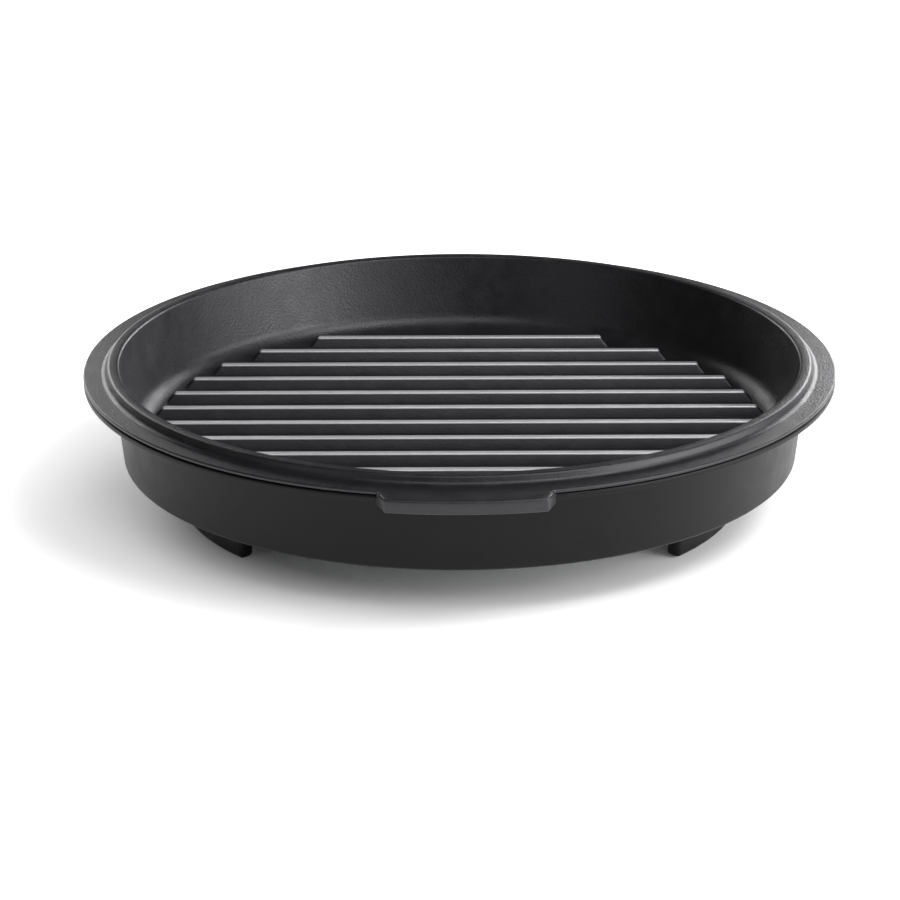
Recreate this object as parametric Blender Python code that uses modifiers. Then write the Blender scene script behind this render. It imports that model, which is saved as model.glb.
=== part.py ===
"""Round electric griddle: a ribbed cast plate that lifts off a shallow heated base on arc-shaped feet.

Metres, +Z up. Z = 0 is the surface the feet stand on, the Z axis runs through the middle of the plate,
-Y is the front and the power inlet is at the back.
"""

import math

import bmesh
import bpy
from mathutils import Matrix, Vector

# Clearance kept between touching pieces.
GAP = 0.0003

# Flanges: the plate's flange rests on the base's flange with a thin seam between them.
FLANGE_R = 0.1700
SEAM_Z = 0.0610
SEAM_HALF = 0.0002
PLATE_FLANGE_THICK = 0.0016
EDGE_ROUND = 0.0005

# Cooking plate: floor, cove, drafted wall and raised lip.
PLATE_THICK = 0.0026
FLOOR_Z = 0.03165
COVE_CENTRE_R = 0.1383
COVE_R = 0.0100
WALL_DRAFT = math.radians(12.5)
LIP_TOP_Z = 0.0665
LIP_THICK = 0.0052
LIP_ROUND = 0.0012
PLATE_STEPS = 60

# Ribs across the plate's floor.
RIB_COUNT = 12
RIB_PITCH = 0.02074
RIB_BACK_Y = 0.1188
RIB_END_R = 0.1373
RIB_HEIGHT = 0.0046
RIB_TOP = 0.0030
RIB_FOOT = 0.0070
RIB_END_SLOPE = 0.0050
RIB_SUNK = 0.0010

# Lifting tab at the front of the plate's flange, a little to the right of its middle.
TAB_FACING = -89.1
TAB_OUT_R = 0.17875
TAB_ROOT_HALF = 0.0369
TAB_TIP_HALF = 0.0335
TAB_THICK = 0.0062
TAB_DROP = 0.00015
TAB_CLEAR = 0.00035
TAB_ROUND = 0.0010

# Base housing: turned-down flange edge, tapering wall, floor with a round service opening.
SHEET = 0.0012
HEM_DEPTH = 0.0025
WALL_TOP_R = 0.1570
WALL_BOTTOM_R = 0.1530
BODY_BOTTOM_Z = 0.0220
BODY_CORNER = 0.0020
OPENING_R = 0.1060
BASE_STEPS = 60
ROUND_STEPS = 36

# Arc-shaped feet, two at the front and two at the back.
FOOT_OUT_R = 0.1282
FOOT_WIDE = 0.0070
FOOT_START = 48.0
FOOT_SPAN = 30.0
FOOT_ROUND = 0.0018
FOOT_BOTTOM_Z = 0.0004
PAD_WIDE = 0.0024
PAD_DEEP = 0.0014

# Bottom cover under the service opening.
COVER_SHEET = 0.0010
COVER_FLANGE_R = 0.1170
COVER_WALL_TOP_R = 0.1055
COVER_WALL_BOTTOM_R = 0.1015
COVER_BOTTOM_Z = 0.0085
VENT_COUNT = 12

# Reflector pan and heating element.
REFLECTOR_SHEET = 0.0006
REFLECTOR_Z = 0.0172
REFLECTOR_HOLE_R = 0.0123
ELEMENT_TUBE_R = 0.0033
ELEMENT_Z = 0.0236
ELEMENT_OUTER_R = 0.0950
ELEMENT_INNER_R = 0.0600
ELEMENT_END_Z = 0.0150
ELEMENT_BEND_R = 0.0070

# Fasteners.
SHANK_R = 0.0016
HOLE_R = 0.0020
HEAD_R = 0.0033
HEAD_TALL = 0.0019
RING_SCREW_R = 0.1115
SCREW_STEPS = 8

# Sprung thermostat sensor in the middle of the reflector.
SENSOR_R = 0.0110
SENSOR_TOP_Z = 0.02875
SENSOR_SHEET = 0.0008
SENSOR_SKIRT_Z = 0.0195
HOLDER_R = 0.0134
HOLDER_FLOOR_Z = 0.0099
HOLDER_SHEET = 0.0006

# Plate-present switch between the sensor and the inner turn of the element.
SWITCH_AT = Vector((0.0040, 0.0400, 0.0))
SWITCH_HALF_X = 0.0070
SWITCH_HALF_Y = 0.0060
SWITCH_LOW_Z = 0.0098
SWITCH_HIGH_Z = 0.0162
PIN_R = 0.0012
PIN_LOW_Z = 0.0125
PIN_COLLAR_Z = 0.0226
PIN_COLLAR_R = 0.0036

# Terminal box behind the wall, its lid, and the appliance inlet in its rear face.
BOX_HALF_X = 0.0240
BOX_REAR_Y = 0.1720
BOX_TOP_Z = 0.0460
BOX_WALL = 0.0025
DUCT_TOP_Z = 0.0203
DUCT_CEILING_Z = 0.0184
INLET_Z = 0.0330
INLET_HALF_X = 0.0137
INLET_HALF_Z = 0.0087
INLET_WALL = 0.0015
INLET_REAR_Y = 0.1780
PRONG_X = 0.0070
PRONG_Z = 0.0310
EARTH_PRONG_Z = 0.0350

# Terminal block and leads inside the bottom cover.
BLOCK_AT = Vector((0.0150, 0.0840, 0.0))
POLE_X = 0.0070
LEAD_R = 0.0011
LEAD_Z = 0.0130
FUSE_X = 0.0080


def clear_scene():
    for obj in list(bpy.data.objects):
        bpy.data.objects.remove(obj, do_unlink=True)


def make_collection(name):
    collection = bpy.data.collections.new(name)
    bpy.context.scene.collection.children.link(collection)
    return collection


def make_material(name, colour, roughness, metallic):
    material = bpy.data.materials.new(name)
    material.use_nodes = True
    shader = material.node_tree.nodes["Principled BSDF"]
    shader.inputs["Base Color"].default_value = (*colour, 1.0)
    shader.inputs["Roughness"].default_value = roughness
    shader.inputs["Metallic"].default_value = metallic
    material.diffuse_color = (*colour, 1.0)
    return material


def add_object(name, mesh, collection, material=None):
    obj = bpy.data.objects.new(name, mesh)
    collection.objects.link(obj)
    if material is not None:
        mesh.materials.append(material)
    if collection is CUTTERS:
        obj.hide_render = True
        obj.display_type = "WIRE"
    return obj


def smooth(obj):
    obj.data.shade_smooth()
    obj.data.set_sharp_from_angle(angle=math.radians(35))


def arc(centre, radius, start, end, steps):
    """Points on an arc in a plane, from start to end in degrees."""
    points = []
    for i in range(steps + 1):
        angle = math.radians(start + (end - start) * i / steps)
        points.append((centre[0] + radius * math.cos(angle), centre[1] + radius * math.sin(angle)))
    return points


def mesh_from(name, bm):
    bmesh.ops.recalc_face_normals(bm, faces=bm.faces)
    mesh = bpy.data.meshes.new(name)
    bm.to_mesh(mesh)
    bm.free()
    return mesh


def turned(name, profile, steps, material, sheet=0.0):
    """A profile in the XZ plane turned about Z: a solid, or a sheet that thickens away from its outer side."""
    mesh = bpy.data.meshes.new(name)
    edges = [(i, i + 1) for i in range(len(profile) - 1)]
    mesh.from_pydata([(r, 0.0, z) for r, z in profile], edges, [])
    obj = add_object(name, mesh, PARTS, material)
    screw = obj.modifiers.new("Turn", "SCREW")
    screw.steps = steps
    screw.render_steps = steps
    screw.use_merge_vertices = True
    screw.merge_threshold = 0.00005
    if sheet:
        solidify = obj.modifiers.new("Sheet", "SOLIDIFY")
        solidify.thickness = sheet
        solidify.use_even_offset = True
    return obj


def turned_copies(name, profile, steps, matrices, material):
    """The same small solid of revolution at each matrix, one numbered object each."""
    for i, matrix in enumerate(matrices):
        turned(f"{name}_{i + 1}", profile, steps, material).matrix_world = matrix


def add_box(bm, low, high):
    size = [high[i] - low[i] for i in range(3)]
    centre = [(high[i] + low[i]) / 2 for i in range(3)]
    matrix = Matrix.Translation(centre) @ Matrix.Diagonal((*size, 1.0))
    bmesh.ops.create_cube(bm, size=1.0, matrix=matrix)


def boxes(name, corners, collection, material=None):
    bm = bmesh.new()
    for low, high in corners:
        add_box(bm, low, high)
    return add_object(name, mesh_from(name, bm), collection, material)


def add_cylinder(bm, radius, start, end, segments=12, end_radius=None):
    along = Vector(end) - Vector(start)
    turn = Vector((0, 0, 1)).rotation_difference(along).to_matrix().to_4x4()
    matrix = Matrix.Translation((Vector(start) + Vector(end)) / 2) @ turn
    bmesh.ops.create_cone(
        bm,
        cap_ends=True,
        segments=segments,
        radius1=radius,
        radius2=radius if end_radius is None else end_radius,
        depth=along.length,
        matrix=matrix,
    )


def cylinders(name, radius, ends, collection, material=None, segments=12):
    bm = bmesh.new()
    for start, end in ends:
        add_cylinder(bm, radius, start, end, segments)
    return add_object(name, mesh_from(name, bm), collection, material)


def cone_cutter(name, low_r, low_z, high_r, high_z, steps=BASE_STEPS):
    bm = bmesh.new()
    add_cylinder(bm, low_r, (0, 0, low_z), (0, 0, high_z), steps, high_r)
    return add_object(name, mesh_from(name, bm), CUTTERS)


def outline_solid(name, points, low_z, high_z, collection, material=None):
    """A flat outline in XY, filled and extruded between two heights, as a welded mesh."""
    curve = bpy.data.curves.new(name + "_outline", "CURVE")
    curve.dimensions = "2D"
    curve.fill_mode = "BOTH"
    curve.extrude = (high_z - low_z) / 2
    spline = curve.splines.new("POLY")
    spline.points.add(len(points) - 1)
    for point, (x, y) in zip(spline.points, points):
        point.co = (x, y, 0.0, 1.0)
    spline.use_cyclic_u = True
    guide = bpy.data.objects.new(name + "_guide", curve)
    bpy.context.scene.collection.objects.link(guide)
    bpy.context.view_layer.update()
    evaluated = guide.evaluated_get(bpy.context.evaluated_depsgraph_get())
    mesh = bpy.data.meshes.new_from_object(evaluated)
    bpy.data.objects.remove(guide, do_unlink=True)
    bm = bmesh.new()
    bm.from_mesh(mesh)
    bmesh.ops.remove_doubles(bm, verts=bm.verts, dist=0.00002)
    bmesh.ops.translate(bm, verts=bm.verts, vec=(0, 0, (high_z + low_z) / 2))
    bmesh.ops.recalc_face_normals(bm, faces=bm.faces)
    bm.to_mesh(mesh)
    bm.free()
    mesh.name = name
    mesh.materials.clear()
    return add_object(name, mesh, collection, material)


def tube(name, points, radius, material, resolution=2):
    curve = bpy.data.curves.new(name, "CURVE")
    curve.dimensions = "3D"
    curve.bevel_depth = radius
    curve.bevel_resolution = resolution
    curve.use_fill_caps = True
    spline = curve.splines.new("POLY")
    spline.points.add(len(points) - 1)
    for point, place in zip(spline.points, points):
        point.co = (*place, 1.0)
    curve.materials.append(material)
    obj = bpy.data.objects.new(name, curve)
    PARTS.objects.link(obj)
    return obj


def smooth_route(places, spacing):
    """Points along a smooth curve through the given places, a set spacing apart at most."""
    count = len(places)
    points = []
    for i in range(count - 1):
        before = Vector(places[max(i - 1, 0)])
        start = Vector(places[i])
        end = Vector(places[i + 1])
        after = Vector(places[min(i + 2, count - 1)])
        steps = max(1, math.ceil((end - start).length / spacing))
        for k in range(steps):
            t = k / steps
            leave = (end - before) / 2
            arrive = (after - start) / 2
            points.append(
                (2 * t**3 - 3 * t**2 + 1) * start
                + (t**3 - 2 * t**2 + t) * leave
                + (-2 * t**3 + 3 * t**2) * end
                + (t**3 - t**2) * arrive
            )
    points.append(Vector(places[-1]))
    return points


def boolean(target, other, operation):
    modifier = target.modifiers.new(operation.title(), "BOOLEAN")
    modifier.operation = operation
    modifier.solver = "EXACT"
    modifier.object = other


def bevel(obj, width, segments, degrees=40):
    modifier = obj.modifiers.new("Edges", "BEVEL")
    modifier.width = width
    modifier.segments = segments
    modifier.limit_method = "ANGLE"
    modifier.angle_limit = math.radians(degrees)


def on_ring(radius, degrees, z=0.0):
    angle = math.radians(degrees)
    return Vector((radius * math.cos(angle), radius * math.sin(angle), z))


def plate_profile():
    """Cast section: floor, cove, wall, lip and flange, then back under the flange and the floor."""
    wall = Vector((math.sin(WALL_DRAFT), math.cos(WALL_DRAFT)))
    draft = -math.degrees(WALL_DRAFT)
    cove = (COVE_CENTRE_R, FLOOR_Z + COVE_R)
    flange_under = SEAM_Z + SEAM_HALF
    flange_top = flange_under + PLATE_FLANGE_THICK
    inner_cove = arc(cove, COVE_R, -90, draft, 4)
    foot = Vector(inner_cove[-1])
    lip_low = LIP_TOP_Z - LIP_ROUND
    wall_top = foot + wall * ((lip_low - foot.y) / wall.y)
    lip_out = wall_top.x + LIP_THICK
    outer_cove = arc(cove, COVE_R + PLATE_THICK, draft, -90, 4)
    outer_foot = Vector(outer_cove[0])
    outer_top = outer_foot + wall * ((flange_under - outer_foot.y) / wall.y)
    points = [(0.0, FLOOR_Z)]
    points += inner_cove
    points += arc((wall_top.x + LIP_ROUND, lip_low), LIP_ROUND, 180, 90, 2)
    points += arc((lip_out - LIP_ROUND, lip_low), LIP_ROUND, 90, 0, 2)
    points += [(lip_out + 0.0002, flange_top + 0.0010), (lip_out + 0.0012, flange_top)]
    points += arc((FLANGE_R - EDGE_ROUND, flange_top - EDGE_ROUND), EDGE_ROUND, 90, 0, 1)
    points += [(FLANGE_R, flange_under + EDGE_ROUND), (FLANGE_R - EDGE_ROUND, flange_under)]
    points += [tuple(outer_top)]
    points += outer_cove
    points += [(0.0, FLOOR_Z - PLATE_THICK)]
    return points


def add_rib(bm, y):
    """One rib: a bar that narrows upwards and slopes down at both ends."""
    crest_half = math.sqrt(RIB_END_R**2 - y**2)
    slope = (RIB_FOOT - RIB_TOP) / 2 / RIB_HEIGHT
    sunk_foot = RIB_FOOT + 2 * slope * RIB_SUNK
    foot_half = crest_half + RIB_END_SLOPE
    low = FLOOR_Z - RIB_SUNK
    high = FLOOR_Z + RIB_HEIGHT
    made = bmesh.ops.create_cube(bm, size=2.0)
    for vert in made["verts"]:
        top = vert.co.z > 0
        vert.co.x *= crest_half if top else foot_half
        vert.co.y = y + vert.co.y * (RIB_TOP if top else sunk_foot) / 2
        vert.co.z = high if top else low


def tab_outline(inner_r, outer_r, root_half, tip_half, facing):
    root = math.degrees(math.asin(root_half / inner_r))
    tip = math.degrees(math.asin(tip_half / outer_r))
    inner = arc((0, 0), inner_r, facing - root, facing + root, 8)
    return inner + arc((0, 0), outer_r, facing + tip, facing - tip, 8)


def make_plate(material):
    plate = turned("grill_plate", plate_profile(), PLATE_STEPS, material)
    flange_top = SEAM_Z + SEAM_HALF + PLATE_FLANGE_THICK
    top = flange_top - TAB_DROP
    bottom = flange_top - TAB_THICK
    tongue_low = SEAM_Z + SEAM_HALF + 0.0002
    outline = tab_outline(FLANGE_R + TAB_CLEAR, TAB_OUT_R, TAB_ROOT_HALF, TAB_TIP_HALF, TAB_FACING)
    tab = outline_solid("tab", outline, bottom, top, CUTTERS)
    bevel(tab, TAB_ROUND, 2)
    inside = tab_outline(FLANGE_R - 0.006, FLANGE_R + 0.004, TAB_ROOT_HALF - 0.003, TAB_TIP_HALF - 0.002, TAB_FACING)
    tongue = outline_solid("tongue", inside, tongue_low, top - 0.0002, CUTTERS)
    boolean(plate, tab, "UNION")
    boolean(plate, tongue, "UNION")
    bm = bmesh.new()
    for i in range(RIB_COUNT):
        add_rib(bm, RIB_BACK_Y - i * RIB_PITCH)
    ribs = add_object("ribs", mesh_from("ribs", bm), CUTTERS)
    boolean(plate, ribs, "UNION")
    return plate


def wall_radius(z):
    """Outer radius of the base's tapering wall at a height."""
    low = BODY_BOTTOM_Z + BODY_CORNER
    high = SEAM_Z - SEAM_HALF - HEM_DEPTH
    return WALL_BOTTOM_R + (WALL_TOP_R - WALL_BOTTOM_R) * (z - low) / (high - low)


def ring_screw_angles():
    return [45.0 + 90.0 * i for i in range(4)]


def foot_middles():
    """Angle of the middle of each foot, counted from +X, with its place in words."""
    half = FOOT_START + FOOT_SPAN / 2
    return (
        ("front_left", -90.0 - half),
        ("front_right", -90.0 + half),
        ("rear_left", 90.0 + half),
        ("rear_right", 90.0 - half),
    )


def foot_screw_places():
    middle_r = FOOT_OUT_R - FOOT_WIDE / 2
    places = []
    for _, angle in foot_middles():
        places += [on_ring(middle_r, angle - FOOT_SPAN * 0.3), on_ring(middle_r, angle + FOOT_SPAN * 0.3)]
    return places


def box_screw_places():
    return [Vector((-0.015, 0.139, 0.0)), Vector((0.015, 0.139, 0.0))]


def make_base(material):
    flange_top = SEAM_Z - SEAM_HALF
    under = flange_top - SHEET
    hem_r = FLANGE_R - 0.0001 - SHEET
    corner_z = BODY_BOTTOM_Z + BODY_CORNER
    profile = [
        (hem_r, flange_top - HEM_DEPTH),
        (hem_r, under),
        (WALL_TOP_R + 0.0014, under),
        (WALL_TOP_R, under - 0.0012),
    ]
    profile += arc((WALL_BOTTOM_R - BODY_CORNER, corner_z), BODY_CORNER, 0, -90, 2)
    profile += [(OPENING_R, BODY_BOTTOM_Z)]
    base = turned("base_housing", profile, BASE_STEPS, material, sheet=SHEET)
    places = foot_screw_places() + box_screw_places()
    places += [on_ring(RING_SCREW_R, angle) for angle in ring_screw_angles()]
    low = Vector((0, 0, BODY_BOTTOM_Z - 0.004))
    high = Vector((0, 0, BODY_BOTTOM_Z + 0.004))
    holes = cylinders("base_holes", HOLE_R, [(place + low, place + high) for place in places], CUTTERS, segments=10)
    boolean(base, holes, "DIFFERENCE")
    return base


def make_foot(word, middle, material, pad_material):
    inner = FOOT_OUT_R - FOOT_WIDE
    half = FOOT_SPAN / 2
    outline = arc((0, 0), inner, middle - half, middle + half, 8)
    outline += arc((0, 0), FOOT_OUT_R, middle + half, middle - half, 8)
    foot = outline_solid("foot_" + word, outline, FOOT_BOTTOM_Z, BODY_BOTTOM_Z - GAP, PARTS, material)
    bevel(foot, FOOT_ROUND, 1)
    pad_mid = FOOT_OUT_R - FOOT_WIDE / 2
    pad_in = pad_mid - PAD_WIDE / 2
    pad_out = pad_mid + PAD_WIDE / 2
    pad_half = half - 2.0
    groove = arc((0, 0), pad_in - GAP, middle - pad_half - 0.2, middle + pad_half + 0.2, 8)
    groove += arc((0, 0), pad_out + GAP, middle + pad_half + 0.2, middle - pad_half - 0.2, 8)
    cutter = outline_solid(
        "groove_" + word, groove, FOOT_BOTTOM_Z - 0.003, FOOT_BOTTOM_Z + PAD_DEEP, CUTTERS
    )
    boolean(foot, cutter, "DIFFERENCE")
    ends = []
    for turn in (-0.3, 0.3):
        place = on_ring(pad_mid, middle + FOOT_SPAN * turn)
        ends.append((place + Vector((0, 0, BODY_BOTTOM_Z - 0.013)), place + Vector((0, 0, BODY_BOTTOM_Z + 0.002))))
    pilots = cylinders("pilots_" + word, SHANK_R + GAP, ends, CUTTERS, segments=10)
    boolean(foot, pilots, "DIFFERENCE")
    smooth(foot)
    pad = arc((0, 0), pad_in, middle - pad_half, middle + pad_half, 8)
    pad += arc((0, 0), pad_out, middle + pad_half, middle - pad_half, 8)
    outline_solid("foot_pad_" + word, pad, 0.0, FOOT_BOTTOM_Z + PAD_DEEP - GAP, PARTS, pad_material)


def screw_profile(head_r, head_tall, shank_r, shank_long):
    """Pan-head screw standing head up, the head's underside at z = 0."""
    return [
        (0.0, head_tall),
        (head_r * 0.85, head_tall),
        (head_r, 0.0),
        (shank_r, 0.0),
        (shank_r, -shank_long),
        (0.0, -shank_long),
    ]


def make_cover(material):
    profile = [
        (COVER_FLANGE_R, DUCT_TOP_Z + 0.0004),
        (COVER_WALL_TOP_R + 0.0012, DUCT_TOP_Z + 0.0004),
        (COVER_WALL_TOP_R, DUCT_TOP_Z - 0.0008),
        (COVER_WALL_BOTTOM_R, COVER_BOTTOM_Z + 0.0020),
        (COVER_WALL_BOTTOM_R - 0.0020, COVER_BOTTOM_Z),
        (0.0, COVER_BOTTOM_Z),
    ]
    cover = turned("bottom_cover", profile, ROUND_STEPS, material, sheet=COVER_SHEET)
    low = Vector((0, 0, 0.016))
    high = Vector((0, 0, 0.026))
    places = [on_ring(RING_SCREW_R, angle) for angle in ring_screw_angles()]
    holes = cylinders("cover_holes", HOLE_R, [(place + low, place + high) for place in places], CUTTERS, segments=10)
    boolean(cover, holes, "DIFFERENCE")
    bm = bmesh.new()
    add_box(bm, (-0.017, 0.095, 0.0115), (0.017, 0.112, 0.0175))
    for i in range(VENT_COUNT):
        turn = Matrix.Rotation(math.tau * (i + 0.5) / VENT_COUNT, 4, "Z")
        size = Matrix.Diagonal((0.020, 0.004, 0.010, 1.0))
        middle = Matrix.Translation((0.038, 0, COVER_BOTTOM_Z))
        bmesh.ops.create_cube(bm, size=1.0, matrix=turn @ middle @ size)
    openings = add_object("cover_openings", mesh_from("cover_openings", bm), CUTTERS)
    boolean(cover, openings, "DIFFERENCE")
    return cover


def element_route():
    """Two turns of the sheathed element, with a leg down at each end."""
    first = 98.0
    ramp_start = 418.0
    ramp_end = 465.0
    last = 795.0

    def ring_point(degrees):
        share = min(max((degrees - ramp_start) / (ramp_end - ramp_start), 0.0), 1.0)
        share = share * share * (3 - 2 * share)
        radius = ELEMENT_OUTER_R + (ELEMENT_INNER_R - ELEMENT_OUTER_R) * share
        return on_ring(radius, degrees, ELEMENT_Z)

    def leg(radius, degrees, way):
        points = [on_ring(radius, degrees, ELEMENT_END_Z)]
        for i in range(4):
            bend = math.radians(30.0 * i)
            along = ELEMENT_BEND_R * (1 - math.cos(bend))
            z = ELEMENT_Z - ELEMENT_BEND_R + ELEMENT_BEND_R * math.sin(bend)
            points.append(on_ring(radius, degrees + way * math.degrees(along / radius), z))
        return points

    points = leg(ELEMENT_OUTER_R, first, 1)
    start = first + math.degrees(ELEMENT_BEND_R / ELEMENT_OUTER_R) + 5.0
    end = last - math.degrees(ELEMENT_BEND_R / ELEMENT_INNER_R) - 6.0
    count = 76
    points += [ring_point(start + (end - start) * i / count) for i in range(count + 1)]
    points += reversed(leg(ELEMENT_INNER_R, last, -1))
    return points, (on_ring(ELEMENT_OUTER_R, first), on_ring(ELEMENT_INNER_R, last))


def make_element(material, ceramic):
    points, ends = element_route()
    tube("heating_element", points, ELEMENT_TUBE_R, material)
    seal_top = ELEMENT_END_Z - GAP
    profile = [(0.0, seal_top), (0.0034, seal_top), (0.0034, 0.0126), (0.0012, 0.0126), (0.0012, 0.0104), (0.0, 0.0104)]
    turned_copies("element_terminal", profile, 12, [Matrix.Translation(place) for place in ends], ceramic)
    return ends


def saddle(radius, inner, low, strap):
    """Half outline of one saddle over the element tube at a radius: its outer arch, then its inner arch."""
    outer = inner + strap
    over = [(radius + outer, low + strap)] + arc((radius, 0), outer, 0, 180, 8) + [(radius - outer, low + strap)]
    under = [(radius - inner, low)] + arc((radius, 0), inner, 180, 0, 8) + [(radius + inner, low)]
    return over, under


def make_straps(material):
    """Radial straps with a saddle over each turn of the element, fixed flat on the reflector."""
    strap = 0.0007
    low = REFLECTOR_Z + REFLECTOR_SHEET + GAP - ELEMENT_Z
    end = 0.0095
    outer_over, outer_under = saddle(ELEMENT_OUTER_R, ELEMENT_TUBE_R + GAP, low, strap)
    inner_over, inner_under = saddle(ELEMENT_INNER_R, ELEMENT_TUBE_R + GAP, low, strap)
    outline = [(ELEMENT_OUTER_R + 0.0045, low), (ELEMENT_OUTER_R + 0.0045, low + strap)]
    outline += outer_over + inner_over
    outline += [(ELEMENT_INNER_R - end, low + strap), (ELEMENT_INNER_R - end, low)]
    outline += inner_under + outer_under
    upright = Matrix.Rotation(math.radians(90), 4, "X")
    shape = outline_solid("strap_shape", outline, -0.003, 0.003, CUTTERS)
    for i, angle in enumerate((0.0, 180.0, 270.0)):
        turn = Matrix.Rotation(math.radians(angle), 4, "Z")
        obj = bpy.data.objects.new(f"element_strap_{i + 1}", shape.data)
        PARTS.objects.link(obj)
        obj.matrix_world = turn @ Matrix.Translation((0, 0, ELEMENT_Z)) @ upright
    shape.data.materials.append(material)


def make_reflector(material, leg_places):
    rim = BODY_BOTTOM_Z + SHEET + GAP
    profile = [
        (0.1160, rim),
        (OPENING_R - 0.0005, rim),
        (OPENING_R - 0.0014, rim - 0.0007),
        (0.1010, REFLECTOR_Z + 0.0010),
        (0.0998, REFLECTOR_Z),
        (REFLECTOR_HOLE_R, REFLECTOR_Z),
    ]
    pan = turned("reflector_pan", profile, ROUND_STEPS, material, sheet=REFLECTOR_SHEET)
    bm = bmesh.new()
    for angle in ring_screw_angles():
        place = on_ring(RING_SCREW_R, angle)
        add_cylinder(bm, HOLE_R, place + Vector((0, 0, rim - 0.004)), place + Vector((0, 0, rim + 0.004)), 10)
    for place in leg_places:
        add_cylinder(bm, ELEMENT_TUBE_R + 0.0008, place + Vector((0, 0, 0.014)), place + Vector((0, 0, 0.021)), 14)
    add_cylinder(bm, PIN_R + 0.0008, SWITCH_AT + Vector((0, 0, 0.014)), SWITCH_AT + Vector((0, 0, 0.021)), 10)
    holes = add_object("reflector_holes", mesh_from("reflector_holes", bm), CUTTERS)
    boolean(pan, holes, "DIFFERENCE")


def spiral(radius, turns, low, high, points_a_turn):
    count = round(turns * points_a_turn)
    return [on_ring(radius, 360.0 * turns * i / count, low + (high - low) * i / count) for i in range(count + 1)]


def make_sensor(aluminium, ceramic, steel, spring_steel):
    top = SENSOR_TOP_Z
    inner = SENSOR_R - SENSOR_SHEET
    cup = [
        (0.0, top),
        (SENSOR_R - 0.001, top),
        (SENSOR_R, top - 0.001),
        (SENSOR_R, SENSOR_SKIRT_Z),
        (inner, SENSOR_SKIRT_Z),
        (inner, top - SENSOR_SHEET),
        (0.0, top - SENSOR_SHEET),
    ]
    turned("sensor_cup", cup, 20, aluminium)
    capsule_top = top - SENSOR_SHEET - GAP
    capsule_r = inner - GAP
    capsule = [
        (0.0, capsule_top),
        (capsule_r, capsule_top),
        (capsule_r, 0.0228),
        (0.0074, 0.0214),
        (0.0, 0.0214),
    ]
    turned("thermostat_capsule", capsule, 20, ceramic)
    holder = [
        (0.0190, REFLECTOR_Z - GAP - HOLDER_SHEET),
        (HOLDER_R, REFLECTOR_Z - GAP - HOLDER_SHEET),
        (HOLDER_R, HOLDER_FLOOR_Z),
        (0.0, HOLDER_FLOOR_Z),
    ]
    turned("thermostat_holder", holder, 20, steel, sheet=HOLDER_SHEET)
    wire = 0.0005
    low = HOLDER_FLOOR_Z + HOLDER_SHEET + GAP + wire
    high = 0.0214 - GAP - wire
    tube("sensor_spring", spiral(0.0064, 3, low, high, 10), wire, spring_steel, 1)


def make_switch(plastic, ceramic, spring_steel):
    low = (SWITCH_AT.x - SWITCH_HALF_X, SWITCH_AT.y - SWITCH_HALF_Y, SWITCH_LOW_Z)
    high = (SWITCH_AT.x + SWITCH_HALF_X, SWITCH_AT.y + SWITCH_HALF_Y, SWITCH_HIGH_Z)
    body = boxes("switch_body", [(low, high)], PARTS, plastic)
    bevel(body, 0.0005, 1)
    hole = cylinders(
        "switch_bore",
        PIN_R + GAP,
        [(SWITCH_AT + Vector((0, 0, 0.0102)), SWITCH_AT + Vector((0, 0, 0.0180)))],
        CUTTERS,
    )
    boolean(body, hole, "DIFFERENCE")
    profile = [
        (0.0, SENSOR_TOP_Z),
        (PIN_R * 0.6, SENSOR_TOP_Z),
        (PIN_R, SENSOR_TOP_Z - 0.0006),
        (PIN_R, PIN_COLLAR_Z + 0.0009),
        (PIN_COLLAR_R, PIN_COLLAR_Z + 0.0009),
        (PIN_COLLAR_R, PIN_COLLAR_Z),
        (PIN_R, PIN_COLLAR_Z),
        (PIN_R, PIN_LOW_Z),
        (0.0, PIN_LOW_Z),
    ]
    pin = turned("switch_pin", profile, 10, ceramic)
    pin.location = SWITCH_AT
    wire = 0.0003
    low_z = REFLECTOR_Z + REFLECTOR_SHEET + GAP + wire
    high_z = PIN_COLLAR_Z - GAP - wire
    spring = tube("switch_spring", spiral(0.0026, 3, low_z, high_z, 8), wire, spring_steel, 1)
    spring.location = SWITCH_AT


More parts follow.
